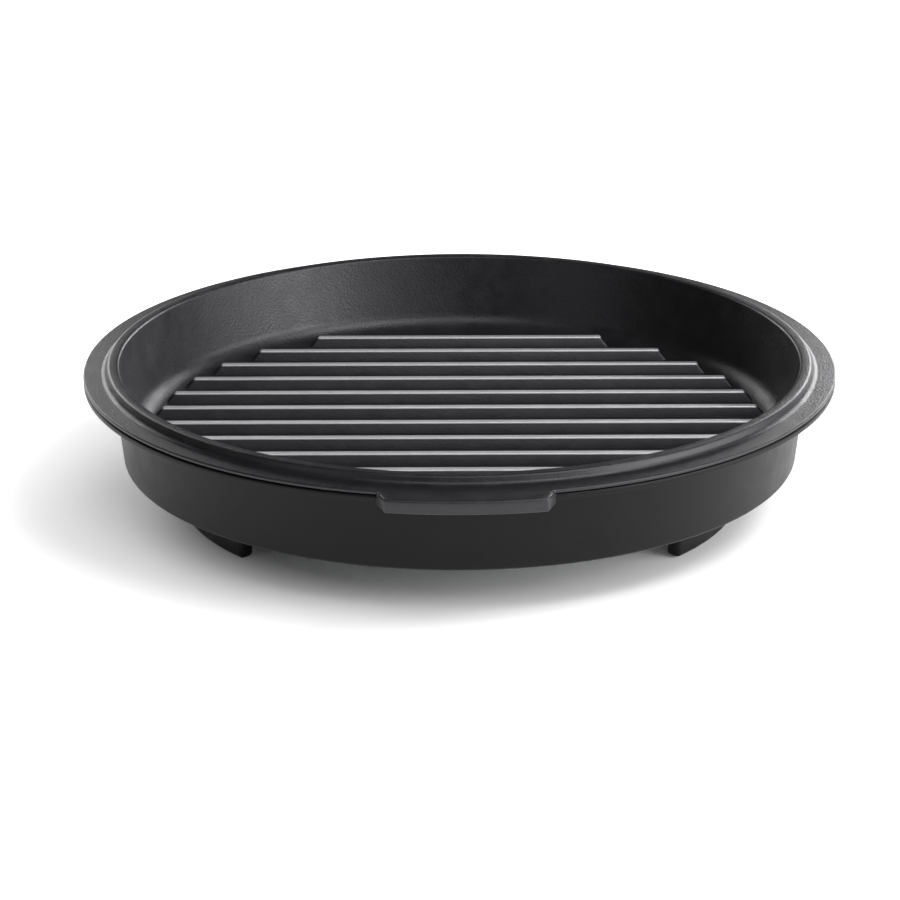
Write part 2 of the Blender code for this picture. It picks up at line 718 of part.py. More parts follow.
def make_terminal_box(plastic):
    front = 0.098
    shell = boxes(
        "terminal_box", [((-BOX_HALF_X, front, COVER_BOTTOM_Z), (BOX_HALF_X, BOX_REAR_Y, DUCT_TOP_Z))], PARTS, plastic
    )
    bevel(shell, 0.0012, 2)
    upper = boxes(
        "box_upper",
        [((-BOX_HALF_X, 0.150, COVER_BOTTOM_Z + 0.006), (BOX_HALF_X, BOX_REAR_Y, BOX_TOP_Z))],
        CUTTERS,
    )
    bevel(upper, 0.0012, 2)
    boolean(shell, upper, "UNION")
    wall = cone_cutter(
        "wall_clearance",
        wall_radius(BODY_BOTTOM_Z) + 0.0004,
        BODY_BOTTOM_Z - 0.0008,
        wall_radius(0.062) + 0.0004,
        0.062,
    )
    boolean(shell, wall, "DIFFERENCE")
    slope = (COVER_WALL_TOP_R - COVER_WALL_BOTTOM_R) / (DUCT_TOP_Z - 0.0008 - COVER_BOTTOM_Z - 0.0020)
    clear = 0.0006
    cover = cone_cutter(
        "cover_clearance",
        COVER_WALL_BOTTOM_R + clear - slope * 0.004,
        COVER_BOTTOM_Z - 0.0020,
        COVER_WALL_BOTTOM_R + clear + slope * (0.024 - COVER_BOTTOM_Z - 0.0020),
        0.024,
        ROUND_STEPS,
    )
    boolean(shell, cover, "DIFFERENCE")
    inner_x = BOX_HALF_X - BOX_WALL
    inner_y = BOX_REAR_Y - BOX_WALL
    hollow = boxes("box_hollow", [((-inner_x, 0.1095, 0.004), (inner_x, inner_y, DUCT_CEILING_Z))], CUTTERS)
    boolean(shell, hollow, "DIFFERENCE")
    chimney = boxes("box_chimney", [((-inner_x, 0.1590, 0.012), (inner_x, inner_y, BOX_TOP_Z - BOX_WALL))], CUTTERS)
    boolean(shell, chimney, "DIFFERENCE")
    window = boxes("box_window", [((-0.017, 0.095, 0.0115), (0.017, 0.113, 0.0175))], CUTTERS)
    boolean(shell, window, "DIFFERENCE")
    clear_x = INLET_HALF_X + GAP
    clear_z = INLET_HALF_Z + GAP
    mouth = boxes(
        "inlet_mouth",
        [((-clear_x, inner_y - 0.004, INLET_Z - clear_z), (clear_x, BOX_REAR_Y + 0.004, INLET_Z + clear_z))],
        CUTTERS,
    )
    boolean(shell, mouth, "DIFFERENCE")
    bm = bmesh.new()
    for place in box_screw_places():
        add_cylinder(bm, HOLE_R, place + Vector((0, 0, 0.016)), place + Vector((0, 0, 0.024)), 10)
    for x in inlet_screw_x():
        add_cylinder(bm, SHANK_R + GAP, (x, inner_y - 0.003, INLET_Z), (x, BOX_REAR_Y + 0.003, INLET_Z), 10)
    holes = add_object("box_holes", mesh_from("box_holes", bm), CUTTERS)
    boolean(shell, holes, "DIFFERENCE")
    lid = boxes(
        "terminal_box_lid",
        [((-inner_x + GAP, 0.1095 + GAP, COVER_BOTTOM_Z), (inner_x - GAP, inner_y - GAP, COVER_BOTTOM_Z + 0.0016))],
        PARTS,
        plastic,
    )
    bevel(lid, 0.0003, 1)


def inlet_screw_x():
    return (-0.0180, 0.0180)


def prong_places():
    return ((-PRONG_X, PRONG_Z), (PRONG_X, PRONG_Z), (0.0, EARTH_PRONG_Z))


def make_inlet(plastic, brass, steel):
    flange_y = BOX_REAR_Y + GAP
    body_low = (-INLET_HALF_X, 0.1640, INLET_Z - INLET_HALF_Z)
    body_high = (INLET_HALF_X, INLET_REAR_Y, INLET_Z + INLET_HALF_Z)
    socket = boxes("inlet_socket", [(body_low, body_high)], PARTS, plastic)
    flange = boxes(
        "inlet_flange", [((-0.0225, flange_y, INLET_Z - 0.0105), (0.0225, flange_y + 0.0028, INLET_Z + 0.0105))], CUTTERS
    )
    bevel(flange, 0.0008, 1)
    boolean(socket, flange, "UNION")
    hollow_x = INLET_HALF_X - INLET_WALL
    hollow_z = INLET_HALF_Z - INLET_WALL
    hollow = boxes(
        "inlet_hollow",
        [((-hollow_x, 0.1662, INLET_Z - hollow_z), (hollow_x, INLET_REAR_Y + 0.003, INLET_Z + hollow_z))],
        CUTTERS,
    )
    boolean(socket, hollow, "DIFFERENCE")
    half_x = 0.0010
    half_z = 0.0020
    slots = []
    prongs = []
    for x, z in prong_places():
        slots.append(((x - half_x - GAP, 0.1620, z - half_z - GAP), (x + half_x + GAP, 0.1680, z + half_z + GAP)))
        prongs.append(((x - half_x, 0.1605, z - half_z), (x + half_x, 0.1760, z + half_z)))
    boolean(socket, boxes("prong_slots", slots, CUTTERS), "DIFFERENCE")
    ends = [((x, 0.170, INLET_Z), (x, 0.180, INLET_Z)) for x in inlet_screw_x()]
    boolean(socket, cylinders("inlet_holes", SHANK_R + GAP, ends, CUTTERS, segments=10), "DIFFERENCE")
    for word, prong in zip(("live", "neutral", "earth"), prongs):
        boxes("inlet_prong_" + word, [prong], PARTS, brass)
    head_under = flange_y + 0.0028 + GAP
    turn = Matrix.Rotation(math.radians(-90), 4, "X")
    matrices = [Matrix.Translation((x, head_under, INLET_Z)) @ turn for x in inlet_screw_x()]
    turned_copies("inlet_screw", screw_profile(0.0028, 0.0016, SHANK_R, 0.0075), SCREW_STEPS, matrices, steel)


def make_block(ceramic):
    low = (BLOCK_AT.x - 0.0120, BLOCK_AT.y - 0.0060, 0.0098)
    high = (BLOCK_AT.x + 0.0120, BLOCK_AT.y + 0.0060, 0.0162)
    block = boxes("terminal_block", [(low, high)], PARTS, ceramic)
    bevel(block, 0.0006, 1)
    poles = (BLOCK_AT.x - POLE_X, BLOCK_AT.x + POLE_X)
    ends = [((x, low[1] - 0.002, LEAD_Z), (x, high[1] + 0.002, LEAD_Z)) for x in poles]
    boolean(block, cylinders("pole_holes", LEAD_R + 0.0004, ends, CUTTERS), "DIFFERENCE")
    return poles


def make_leads(poles, stud_a, stud_b, live, neutral, earth, fuse_material, brass):
    step = 0.008
    tail_y = 0.1622
    low = PRONG_Z - 0.0020 - 0.0004
    back = BLOCK_AT.y + 0.0020
    front = BLOCK_AT.y - 0.0020
    tube(
        "live_lead",
        smooth_route(
            [
                (-PRONG_X, tail_y, low),
                (-PRONG_X, tail_y, 0.0190),
                (-PRONG_X, 0.1590, 0.0145),
                (-PRONG_X, 0.1530, 0.0131),
                (-0.0068, 0.1400, 0.0130),
                (-0.0065, 0.1130, LEAD_Z),
                (0.0010, 0.1010, LEAD_Z),
                (poles[0] - 0.0006, 0.0950, LEAD_Z),
                (poles[0], 0.0915, LEAD_Z),
                (poles[0], back, LEAD_Z),
            ],
            step,
        ),
        LEAD_R,
        live,
    )
    tube(
        "neutral_lead",
        smooth_route(
            [
                (PRONG_X, tail_y, low),
                (PRONG_X, tail_y, 0.0190),
                (PRONG_X, 0.1590, 0.0145),
                (PRONG_X, 0.1530, 0.0131),
                (0.0068, 0.1400, 0.0130),
                (0.0075, 0.1130, LEAD_Z),
                (0.0125, 0.1010, LEAD_Z),
                (poles[1] - 0.0008, 0.0955, LEAD_Z),
                (poles[1], 0.0915, LEAD_Z),
                (poles[1], back, LEAD_Z),
            ],
            step,
        ),
        LEAD_R,
        neutral,
    )
    tube(
        "earth_lead",
        smooth_route(
            [
                (0.0, tail_y, EARTH_PRONG_Z - 0.0024),
                (0.0, tail_y, 0.0200),
                (0.0, 0.1600, 0.0165),
                (0.0, 0.1540, 0.0156),
                (0.0, 0.1400, 0.0156),
                (0.0, 0.1130, 0.0156),
                (-0.0030, 0.1010, 0.0156),
                (-0.0090, 0.0870, 0.0156),
                (-0.0215, 0.0810, 0.0156),
            ],
            step,
        ),
        LEAD_R,
        earth,
    )
    boxes("earth_tab", [((-0.0262, 0.0780, 0.0098), (-0.0230, 0.0840, 0.0166))], PARTS, brass)
    fuse_r = 0.0021
    fuse_back = 0.0680
    fuse_front = 0.0550
    tube(
        "fuse_lead",
        smooth_route([(poles[0], front, LEAD_Z), (FUSE_X, fuse_back + GAP, LEAD_Z)], step),
        LEAD_R,
        live,
    )
    profile = [(0.0, 0.0), (fuse_r, 0.0), (fuse_r, -0.0100), (0.0012, -0.0130), (0.0, -0.0130)]
    turn = Matrix.Rotation(math.radians(-90), 4, "X")
    fuse = turned("thermal_fuse", profile, 12, fuse_material)
    fuse.matrix_world = Matrix.Translation((FUSE_X, fuse_back, LEAD_Z)) @ turn
    switch_back = SWITCH_AT.y + SWITCH_HALF_Y + GAP
    switch_front = SWITCH_AT.y - SWITCH_HALF_Y - GAP
    tube(
        "switch_lead",
        smooth_route([(FUSE_X, fuse_front - GAP, LEAD_Z), (FUSE_X, switch_back, LEAD_Z)], step),
        LEAD_R,
        live,
    )
    tube(
        "sensor_feed_lead",
        smooth_route([(SWITCH_AT.x, switch_front, LEAD_Z), (SWITCH_AT.x, HOLDER_R + 0.0010, LEAD_Z)], step),
        LEAD_R,
        live,
    )
    stud_z = 0.0114
    tube(
        "sensor_return_lead",
        smooth_route(
            [
                (-0.0060, HOLDER_R + 0.0002, LEAD_Z),
                (-0.0120, 0.0300, LEAD_Z),
                (-0.0140, 0.0600, 0.0125),
                (stud_a.x, stud_a.y - 0.0100, stud_z),
                (stud_a.x, stud_a.y - 0.0016, stud_z),
            ],
            step,
        ),
        LEAD_R,
        live,
    )
    tube(
        "neutral_feed_lead",
        smooth_route(
            [
                (poles[1], front, LEAD_Z),
                (poles[1], 0.0720, LEAD_Z),
                (stud_b.x + 0.0010, stud_b.y + 0.0080, stud_z),
                (stud_b.x, stud_b.y + 0.0016, stud_z),
            ],
            step,
        ),
        LEAD_R,
        neutral,
    )


def make_fasteners(steel):
    up = BODY_BOTTOM_Z + SHEET + GAP
    matrices = [Matrix.Translation(place + Vector((0, 0, up))) for place in foot_screw_places()]
    turned_copies("foot_screw", screw_profile(HEAD_R, HEAD_TALL, SHANK_R, 0.0125), SCREW_STEPS, matrices, steel)
    down = Matrix.Rotation(math.pi, 4, "X")
    under = DUCT_TOP_Z + 0.0004 - GAP
    matrices = [
        Matrix.Translation(on_ring(RING_SCREW_R, angle, under)) @ down for angle in ring_screw_angles()
    ]
    turned_copies("cover_screw", screw_profile(HEAD_R, HEAD_TALL, SHANK_R, 0.0064), SCREW_STEPS, matrices, steel)
    matrices = [Matrix.Translation(place + Vector((0, 0, DUCT_CEILING_Z - GAP))) @ down for place in box_screw_places()]
    turned_copies("box_screw", screw_profile(HEAD_R, HEAD_TALL, SHANK_R, 0.0075), SCREW_STEPS, matrices, steel)


clear_scene()
PARTS = make_collection("round_griddle")
CUTTERS = make_collection("cutters")

nonstick = make_material("nonstick_cast_aluminium", (0.020, 0.020, 0.022), 0.45, 0.0)
black_enamel = make_material("black_heatproof_paint", (0.025, 0.025, 0.027), 0.50, 0.0)
phenolic = make_material("black_phenolic", (0.012, 0.012, 0.012), 0.50, 0.0)
rubber = make_material("black_silicone", (0.015, 0.015, 0.015), 0.80, 0.0)
zinc_sheet = make_material("zinc_plated_sheet", (0.60, 0.60, 0.62), 0.40, 1.0)
bright_sheet = make_material("aluminised_sheet", (0.78, 0.78, 0.80), 0.25, 1.0)
sheath = make_material("element_sheath", (0.22, 0.20, 0.18), 0.50, 1.0)
screw_steel = make_material("zinc_plated_steel", (0.55, 0.55, 0.57), 0.35, 1.0)
spring_wire = make_material("spring_steel", (0.45, 0.45, 0.47), 0.35, 1.0)
bare_aluminium = make_material("bare_aluminium", (0.75, 0.75, 0.76), 0.35, 1.0)
brass = make_material("brass", (0.72, 0.55, 0.25), 0.35, 1.0)
ceramic = make_material("steatite_ceramic", (0.82, 0.78, 0.70), 0.50, 0.0)
brown_sleeve = make_material("brown_silicone_sleeve", (0.16, 0.06, 0.03), 0.60, 0.0)
blue_sleeve = make_material("blue_silicone_sleeve", (0.03, 0.10, 0.35), 0.60, 0.0)
green_sleeve = make_material("green_silicone_sleeve", (0.10, 0.32, 0.08), 0.60, 0.0)
fuse_case = make_material("tinned_fuse_case", (0.65, 0.62, 0.55), 0.40, 1.0)

make_plate(nonstick)
make_base(black_enamel)
for place_word, place_angle in foot_middles():
    make_foot(place_word, place_angle, phenolic, rubber)
make_cover(zinc_sheet)
stud_a_place, stud_b_place = make_element(sheath, ceramic)
make_straps(screw_steel)
make_reflector(bright_sheet, (stud_a_place, stud_b_place))
make_sensor(bare_aluminium, ceramic, zinc_sheet, spring_wire)
make_switch(phenolic, ceramic, spring_wire)
make_terminal_box(phenolic)
make_inlet(phenolic, brass, screw_steel)
pole_places = make_block(ceramic)
make_leads(pole_places, stud_a_place, stud_b_place, brown_sleeve, blue_sleeve, green_sleeve, fuse_case, brass)
make_fasteners(screw_steel)
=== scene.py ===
"""Round electric griddle: a ribbed cast plate on a shallow heated base, put together from the floor up."""

import math

import bmesh
import bpy
from mathutils import Matrix, Vector


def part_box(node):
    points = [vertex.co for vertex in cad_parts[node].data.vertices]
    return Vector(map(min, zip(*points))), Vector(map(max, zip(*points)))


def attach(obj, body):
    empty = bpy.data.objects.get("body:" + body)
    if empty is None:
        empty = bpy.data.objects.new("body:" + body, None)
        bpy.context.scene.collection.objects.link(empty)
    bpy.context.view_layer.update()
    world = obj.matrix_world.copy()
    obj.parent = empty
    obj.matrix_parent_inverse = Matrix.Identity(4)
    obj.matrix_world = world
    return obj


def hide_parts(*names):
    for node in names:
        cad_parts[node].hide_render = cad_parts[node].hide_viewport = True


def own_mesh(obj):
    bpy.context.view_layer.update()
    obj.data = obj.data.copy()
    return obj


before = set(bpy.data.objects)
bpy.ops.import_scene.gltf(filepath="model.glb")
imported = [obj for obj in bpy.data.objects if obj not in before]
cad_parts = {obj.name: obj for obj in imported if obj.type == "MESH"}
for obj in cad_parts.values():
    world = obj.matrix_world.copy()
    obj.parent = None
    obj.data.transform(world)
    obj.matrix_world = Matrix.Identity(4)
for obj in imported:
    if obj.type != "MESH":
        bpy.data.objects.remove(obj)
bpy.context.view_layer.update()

SCENE = bpy.context.scene


# Table, studio light and camera.
# A wide matt white table whose glow is painted light: none under the griddle, rising outwards to lighten
# the griddle's cast shadow on it. Soft boxes at the front right give most of the light, a low pair behind
# draws the flange's edges, and weak ones fill in the front.
def add_piece(name, bm):
    """One object from a finished bmesh, smooth except at its real edges."""
    mesh = bpy.data.meshes.new(name)
    bm.to_mesh(mesh)
    bm.free()
    mesh.shade_smooth()
    mesh.set_sharp_from_angle(angle=math.radians(38))
    piece = bpy.data.objects.new(name, mesh)
    SCENE.collection.objects.link(piece)
    return piece


def soft_box(name, around, height, size, power):
    """A lamp that faces the griddle: around is degrees from the front towards the right, height degrees up."""
    data = bpy.data.lights.new(name, "AREA")
    data.shape = "RECTANGLE"
    data.size, data.size_y = size
    data.energy = power
    light = bpy.data.objects.new(name, data)
    SCENE.collection.objects.link(light)
    a, h = math.radians(around), math.radians(height)
    aside = Vector((math.cos(h) * math.sin(a), -math.cos(h) * math.cos(a), math.sin(h)))
    light.location = Vector((0.0, 0.0, 0.04)) + 1.8 * aside
    light.rotation_euler = (-aside).to_track_quat("-Z", "Y").to_euler()


table_paint = bpy.data.materials.new("table_paint")
table_paint.use_nodes = True
table_shader = table_paint.node_tree.nodes["Principled BSDF"]
table_shader.inputs["Base Color"].default_value = (0.88, 0.88, 0.88, 1.0)
table_shader.inputs["Roughness"].default_value = 0.9
table_shader.inputs["Specular IOR Level"].default_value = 0.1
table_nodes, table_links = table_paint.node_tree.nodes, table_paint.node_tree.links
table_place = table_nodes.new("ShaderNodeTexCoord")
from_middle = table_nodes.new("ShaderNodeVectorMath")
from_middle.operation = "LENGTH"
# Painted light: glow lifts the table's shadow close round the griddle, and far_glow lifts it further out.
glow = table_nodes.new("ShaderNodeMapRange")
glow.interpolation_type = "SMOOTHSTEP"
glow.inputs["From Min"].default_value = 0.112
glow.inputs["From Max"].default_value = 0.158
glow.inputs["To Min"].default_value = 0.0
glow.inputs["To Max"].default_value = 0.32
far_glow = table_nodes.new("ShaderNodeMapRange")
far_glow.inputs["From Min"].default_value = 0.15
far_glow.inputs["From Max"].default_value = 0.30
far_glow.inputs["To Max"].default_value = 0.68
shadow_lifting_glow = table_nodes.new("ShaderNodeMath")
table_links.new(table_place.outputs["Object"], from_middle.inputs[0])
for part, ramp in enumerate((glow, far_glow)):
    table_links.new(from_middle.outputs["Value"], ramp.inputs["Value"])
    table_links.new(ramp.outputs["Result"], shadow_lifting_glow.inputs[part])
table_links.new(shadow_lifting_glow.outputs["Value"], table_shader.inputs["Emission Strength"])
table_shader.inputs["Emission Color"].default_value = (1.0, 1.0, 1.0, 1.0)
bm = bmesh.new()
bmesh.ops.create_circle(bm, cap_ends=True, segments=96, radius=9.0)
table = add_piece("table", bm)
table.data.materials.append(table_paint)

SOFT_BOX = (0.9, 0.7)
soft_box("key_high", 60.0, 54.0, SOFT_BOX, 16.5)
soft_box("key_low", 60.0, 18.0, SOFT_BOX, 17.5)
soft_box("right", 90.0, 18.0, SOFT_BOX, 10.5)
soft_box("rear_right", 150.0, 18.0, SOFT_BOX, 16.5)
soft_box("rear_left", -150.0, 18.0, SOFT_BOX, 9.5)
soft_box("front_left", -45.0, 18.0, SOFT_BOX, 1.6)
soft_box("front_right", 25.0, 18.0, SOFT_BOX, 3.0)
soft_box("front_high", 0.0, 58.0, SOFT_BOX, 6.4)

studio = bpy.data.worlds.new("studio")
SCENE.world = studio
studio.use_nodes = True
room = studio.node_tree.nodes["Background"]
room.inputs["Color"].default_value = (1.0, 1.0, 1.0, 1.0)
seen = studio.node_tree.nodes.new("ShaderNodeLightPath")
room_light = studio.node_tree.nodes.new("ShaderNodeMapRange")
room_light.inputs["To Min"].default_value = 0.02
room_light.inputs["To Max"].default_value = 1.0
studio.node_tree.links.new(seen.outputs["Is Camera Ray"], room_light.inputs["Value"])
studio.node_tree.links.new(room_light.outputs["Result"], room.inputs["Strength"])
SCENE.view_settings.view_transform = "Standard"

camera_data = bpy.data.cameras.new("camera")
camera_data.lens = 132.742
camera_data.sensor_width = 36.0
camera = bpy.data.objects.new("camera", camera_data)
SCENE.collection.objects.link(camera)
camera.location = (0.0, -1.430518, 0.540561)
look_at = Vector((-0.0044115, 0.0, 0.0199461))
facing = (look_at - camera.location).to_track_quat("-Z", "Y").to_matrix()
camera.rotation_euler = (facing @ Matrix.Rotation(math.radians(-0.23632), 3, "Z")).to_euler()
SCENE.camera = camera


# Base housing.
# Deep-drawn steel sheet, 1.2 mm thick, in satin black heatproof paint. Its top turns out into a flange
# with a turned-down edge for the plate to rest on, and its floor has a round service opening.
GAP = 0.0003
SHEET = 0.0012
base_low, base_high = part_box("base_housing")
HEM_R = base_high.x
WALL_TOP_R, WALL_BOTTOM_R = 0.1570, 0.1530
OPENING_R = 0.1060
FLOOR_TOP = base_low.z + SHEET


def section(bm, corners, closed, segments):
    """Draws a section in the XZ plane and rounds its corners: each corner is (radius, height, fillet)."""
    verts = [bm.verts.new((r, 0.0, z)) for r, z, _ in corners]
    pairs = list(zip(verts, verts[1:]))
    if closed:
        pairs.append((verts[-1], verts[0]))
    for pair in pairs:
        bm.edges.new(pair)
    rounds = []
    for i, (_, _, fillet) in enumerate(corners):
        if fillet:
            before = verts[i - 1].co - verts[i].co
            after = verts[(i + 1) % len(verts)].co - verts[i].co
            rounds.append((verts[i], fillet / math.tan(before.angle(after) / 2)))
    for vert, run in rounds:
        bmesh.ops.bevel(
            bm, geom=[vert], offset=run, offset_type="OFFSET", segments=segments,
            profile=0.5, affect="VERTICES", material=-1,
        )


def turned(corners, steps=180, closed=True, segments=5, around=360.0, start=0.0):
    """A section turned about the Z axis; a part turn gets a flat face at each end."""
    bm = bmesh.new()
    section(bm, corners, closed, segments)
    bmesh.ops.rotate(bm, verts=bm.verts, cent=(0, 0, 0), matrix=Matrix.Rotation(math.radians(start), 3, "Z"))
    bmesh.ops.spin(
        bm, geom=bm.verts[:] + bm.edges[:], cent=(0, 0, 0), axis=(0, 0, 1), dvec=(0, 0, 0),
        angle=math.radians(around), steps=steps, use_merge=around == 360.0, use_normal_flip=False,
        use_duplicate=False,
    )
    bmesh.ops.remove_doubles(bm, verts=bm.verts, dist=0.000001)
    open_edges = [e for e in bm.edges if len(e.link_faces) == 1]
    if open_edges:
        bmesh.ops.holes_fill(bm, edges=open_edges, sides=0)
    bmesh.ops.recalc_face_normals(bm, faces=bm.faces)
    return bm


def moved(bm, place=(0, 0, 0), turn=None):
    """Puts a bmesh made about the origin where it goes."""
    if turn is not None:
        bmesh.ops.rotate(bm, verts=bm.verts, cent=(0, 0, 0), matrix=turn)
    bmesh.ops.translate(bm, verts=bm.verts, vec=place)
    return bm


def combine(bm, other, how):
    """Cuts a bmesh with another, or joins it on, and gives back the result."""
    pieces = [add_piece("shape", bm), add_piece("tool", other)]
    modifier = pieces[0].modifiers.new("combine", "BOOLEAN")
    modifier.operation = how
    modifier.solver = "EXACT"
    modifier.object = pieces[1]
    bpy.context.view_layer.update()
    evaluated = pieces[0].evaluated_get(bpy.context.evaluated_depsgraph_get())
    result = bmesh.new()
    result.from_mesh(evaluated.to_mesh())
    evaluated.to_mesh_clear()
    for piece in pieces:
        mesh = piece.data
        bpy.data.objects.remove(piece)
        bpy.data.meshes.remove(mesh)
    return result


def add_rod(bm, radius, start, end, segments=24):
    along = Vector(end) - Vector(start)
    turn = Vector((0, 0, 1)).rotation_difference(along).to_matrix().to_4x4()
    matrix = Matrix.Translation((Vector(start) + Vector(end)) / 2) @ turn
    bmesh.ops.create_cone(
        bm, cap_ends=True, segments=segments, radius1=radius, radius2=radius, depth=along.length, matrix=matrix
    )


def on_ring(radius, degrees, z=0.0):
    angle = math.radians(degrees)
    return Vector((radius * math.cos(angle), radius * math.sin(angle), z))


def surface(name, dark, light, patch, rough, grain, depth, metallic=0.0, ior=1.5, stretch=(1.0, 1.0, 1.0)):
    """A finish whose colour and gloss drift over patches, and whose face has a fine grain.

    patch and grain are sizes and depth is the grain's height, all in metres; rough is lowest and highest.
    """
    material = bpy.data.materials.new(name)
    material.use_nodes = True
    nodes, links = material.node_tree.nodes, material.node_tree.links
    shader = nodes["Principled BSDF"]
    shader.inputs["Metallic"].default_value = metallic
    shader.inputs["IOR"].default_value = ior
    place = nodes.new("ShaderNodeTexCoord")
    mapping = nodes.new("ShaderNodeMapping")
    mapping.inputs["Scale"].default_value = stretch
    links.new(place.outputs["Object"], mapping.inputs["Vector"])
    drift = nodes.new("ShaderNodeTexNoise")
    drift.inputs["Scale"].default_value = 1.0 / patch
    drift.inputs["Detail"].default_value = 4.0
    drift.inputs["Roughness"].default_value = 0.6
    links.new(mapping.outputs["Vector"], drift.inputs["Vector"])
    colour = nodes.new("ShaderNodeValToRGB")
    colour.color_ramp.elements[0].position = 0.32
    colour.color_ramp.elements[0].color = (*dark, 1.0)
    colour.color_ramp.elements[1].position = 0.68
    colour.color_ramp.elements[1].color = (*light, 1.0)
    links.new(drift.outputs["Fac"], colour.inputs["Fac"])
    links.new(colour.outputs["Color"], shader.inputs["Base Color"])
    gloss = nodes.new("ShaderNodeMapRange")
    gloss.inputs["From Min"].default_value = 0.3
    gloss.inputs["From Max"].default_value = 0.7
    gloss.inputs["To Min"].default_value = rough[0]
    gloss.inputs["To Max"].default_value = rough[1]
    fine = nodes.new("ShaderNodeTexNoise")
    fine.inputs["Scale"].default_value = 1.0 / grain
    fine.inputs["Detail"].default_value = 3.0
    links.new(mapping.outputs["Vector"], fine.inputs["Vector"])
    links.new(drift.outputs["Fac"], gloss.inputs["Value"])
    links.new(gloss.outputs["Result"], shader.inputs["Roughness"])
    bump = nodes.new("ShaderNodeBump")
    bump.inputs["Distance"].default_value = depth
    links.new(fine.outputs["Fac"], bump.inputs["Height"])
    links.new(bump.outputs["Normal"], shader.inputs["Normal"])
    return material


def fit(piece, material, slot, body, *nodes):
    """Gives a piece its finish and its body, and lets it stand for its CAD nodes."""
    piece.data.materials.append(material)
    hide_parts(*nodes)
    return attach(piece, body)


base_paint = surface(
    "satin_black_paint", dark=(0.0030, 0.0030, 0.0032), light=(0.0048, 0.0048, 0.0050),
    patch=0.012, rough=(0.36, 0.44), grain=0.0005, depth=0.000006, ior=1.265,
)
RING_SCREW_R = 0.1115
ring_screw_angles = [45.0 + 90.0 * i for i in range(4)]
FOOT_R, FOOT_WIDE, FOOT_SPAN = 0.1247, 0.0070, 30.0
foot_angles = {"front_left": -153.0, "front_right": -27.0, "rear_left": 153.0, "rear_right": 27.0}
foot_screw_places = []
for foot_angle in foot_angles.values():
    foot_screw_places += [on_ring(FOOT_R, foot_angle + FOOT_SPAN * share) for share in (-0.3, 0.3)]
box_screw_places = [Vector((-0.015, 0.139, 0.0)), Vector((0.015, 0.139, 0.0))]

shell = turned(
    [
        (HEM_R - SHEET, 0.0583, 0.0002),
        (HEM_R - SHEET, base_high.z - SHEET, 0.0005),
        (WALL_TOP_R + 0.0001, base_high.z - SHEET, 0.0014),
        (WALL_BOTTOM_R, base_low.z, 0.0017),
        (OPENING_R, base_low.z, 0.0),
        (OPENING_R, FLOOR_TOP, 0.0),
        (WALL_BOTTOM_R - SHEET, FLOOR_TOP, 0.0008),
        (WALL_TOP_R - SHEET, base_high.z, 0.0020),
        (HEM_R, base_high.z, 0.0011),
        (HEM_R, 0.0583, 0.0002),
    ]
)
holes = bmesh.new()
for hole_place in foot_screw_places + box_screw_places + [on_ring(RING_SCREW_R, a) for a in ring_screw_angles]:
    add_rod(holes, 0.0020, hole_place + Vector((0, 0, 0.0190)), hole_place + Vector((0, 0, 0.0260)))
base = add_piece("base_shell", combine(shell, holes, "DIFFERENCE"))
fit(base, base_paint, "base_paint", "base", "base_housing")


# Feet.
# Four arcs moulded in black phenolic, two towards the front and two towards the rear. Each has a
# silicone strip pressed into a groove underneath, and two screws through the base's floor hold it.
phenolic = surface(
    "moulded_phenolic", dark=(0.0030, 0.0030, 0.0031), light=(0.0055, 0.0055, 0.0056),
    patch=0.006, rough=(0.40, 0.50), grain=0.0004, depth=0.000008, ior=1.30,
)
foot_rubber = surface(
    "silicone_strip", dark=(0.0100, 0.0100, 0.0100), light=(0.0160, 0.0160, 0.0160),
    patch=0.004, rough=(0.68, 0.80), grain=0.0003, depth=0.000012,
)
PAD_WIDE, PAD_DEEP = 0.0024, 0.0014


def round_edges(bm, edges, radius, segments, clamp=True):
    bmesh.ops.bevel(
        bm, geom=edges, offset=radius, offset_type="OFFSET", segments=segments, profile=0.5, affect="EDGES",
        clamp_overlap=clamp, material=-1,
    )


def soften(bm, radius, segments=3, degrees=40.0):
    """Rounds every real edge of a bmesh."""
    sharp = [e for e in bm.edges if len(e.link_faces) == 2 and e.calc_face_angle() > math.radians(degrees)]
    round_edges(bm, sharp, radius, segments)
    return bm


def arc_bar(middle_r, wide, low, high, middle, span, steps=24):
    """A bar of rectangular section bent round part of a ring."""
    inner, outer = middle_r - wide / 2, middle_r + wide / 2
    corners = [(inner, low, 0.0), (outer, low, 0.0), (outer, high, 0.0), (inner, high, 0.0)]
    return turned(corners, steps, around=span, start=middle - span / 2)


for word, foot_angle in foot_angles.items():
    foot_low, foot_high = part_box("foot_" + word)
    pad_low, pad_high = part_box("foot_pad_" + word)
    foot = soften(arc_bar(FOOT_R, FOOT_WIDE, foot_low.z, foot_high.z, foot_angle, FOOT_SPAN), 0.0020, 4)
    groove = arc_bar(FOOT_R, PAD_WIDE + 2 * GAP, foot_low.z - 0.003, foot_low.z + PAD_DEEP, foot_angle, 26.4)
    foot = add_piece("foot_arc_" + word, combine(foot, groove, "DIFFERENCE"))
    fit(foot, phenolic, "phenolic", "base", "foot_" + word)
    pad = arc_bar(FOOT_R, PAD_WIDE, pad_low.z, pad_high.z, foot_angle, 26.0)
    pad = add_piece("foot_strip_" + word, soften(pad, 0.0003, 2))
    fit(pad, foot_rubber, "foot_rubber", "base", "foot_pad_" + word)


# Foot screws.
# Eight zinc-plated pan-head screws with cross recesses. Each goes down through the base's floor into a foot
# and cuts its own thread there.
screw_steel = surface(
    "zinc_plated_screw", dark=(0.42, 0.42, 0.41), light=(0.60, 0.60, 0.57),
    patch=0.0016, rough=(0.24, 0.38), grain=0.0003, depth=0.000004, metallic=1.0,
)
SHANK_R, HEAD_R, HEAD_TALL = 0.0016, 0.0033, 0.0019
RECESS_SHARE, RECESS_HALF, RECESS_DEEP, RECESS_TAPER = 0.58, 0.00042, 0.0011, 0.62


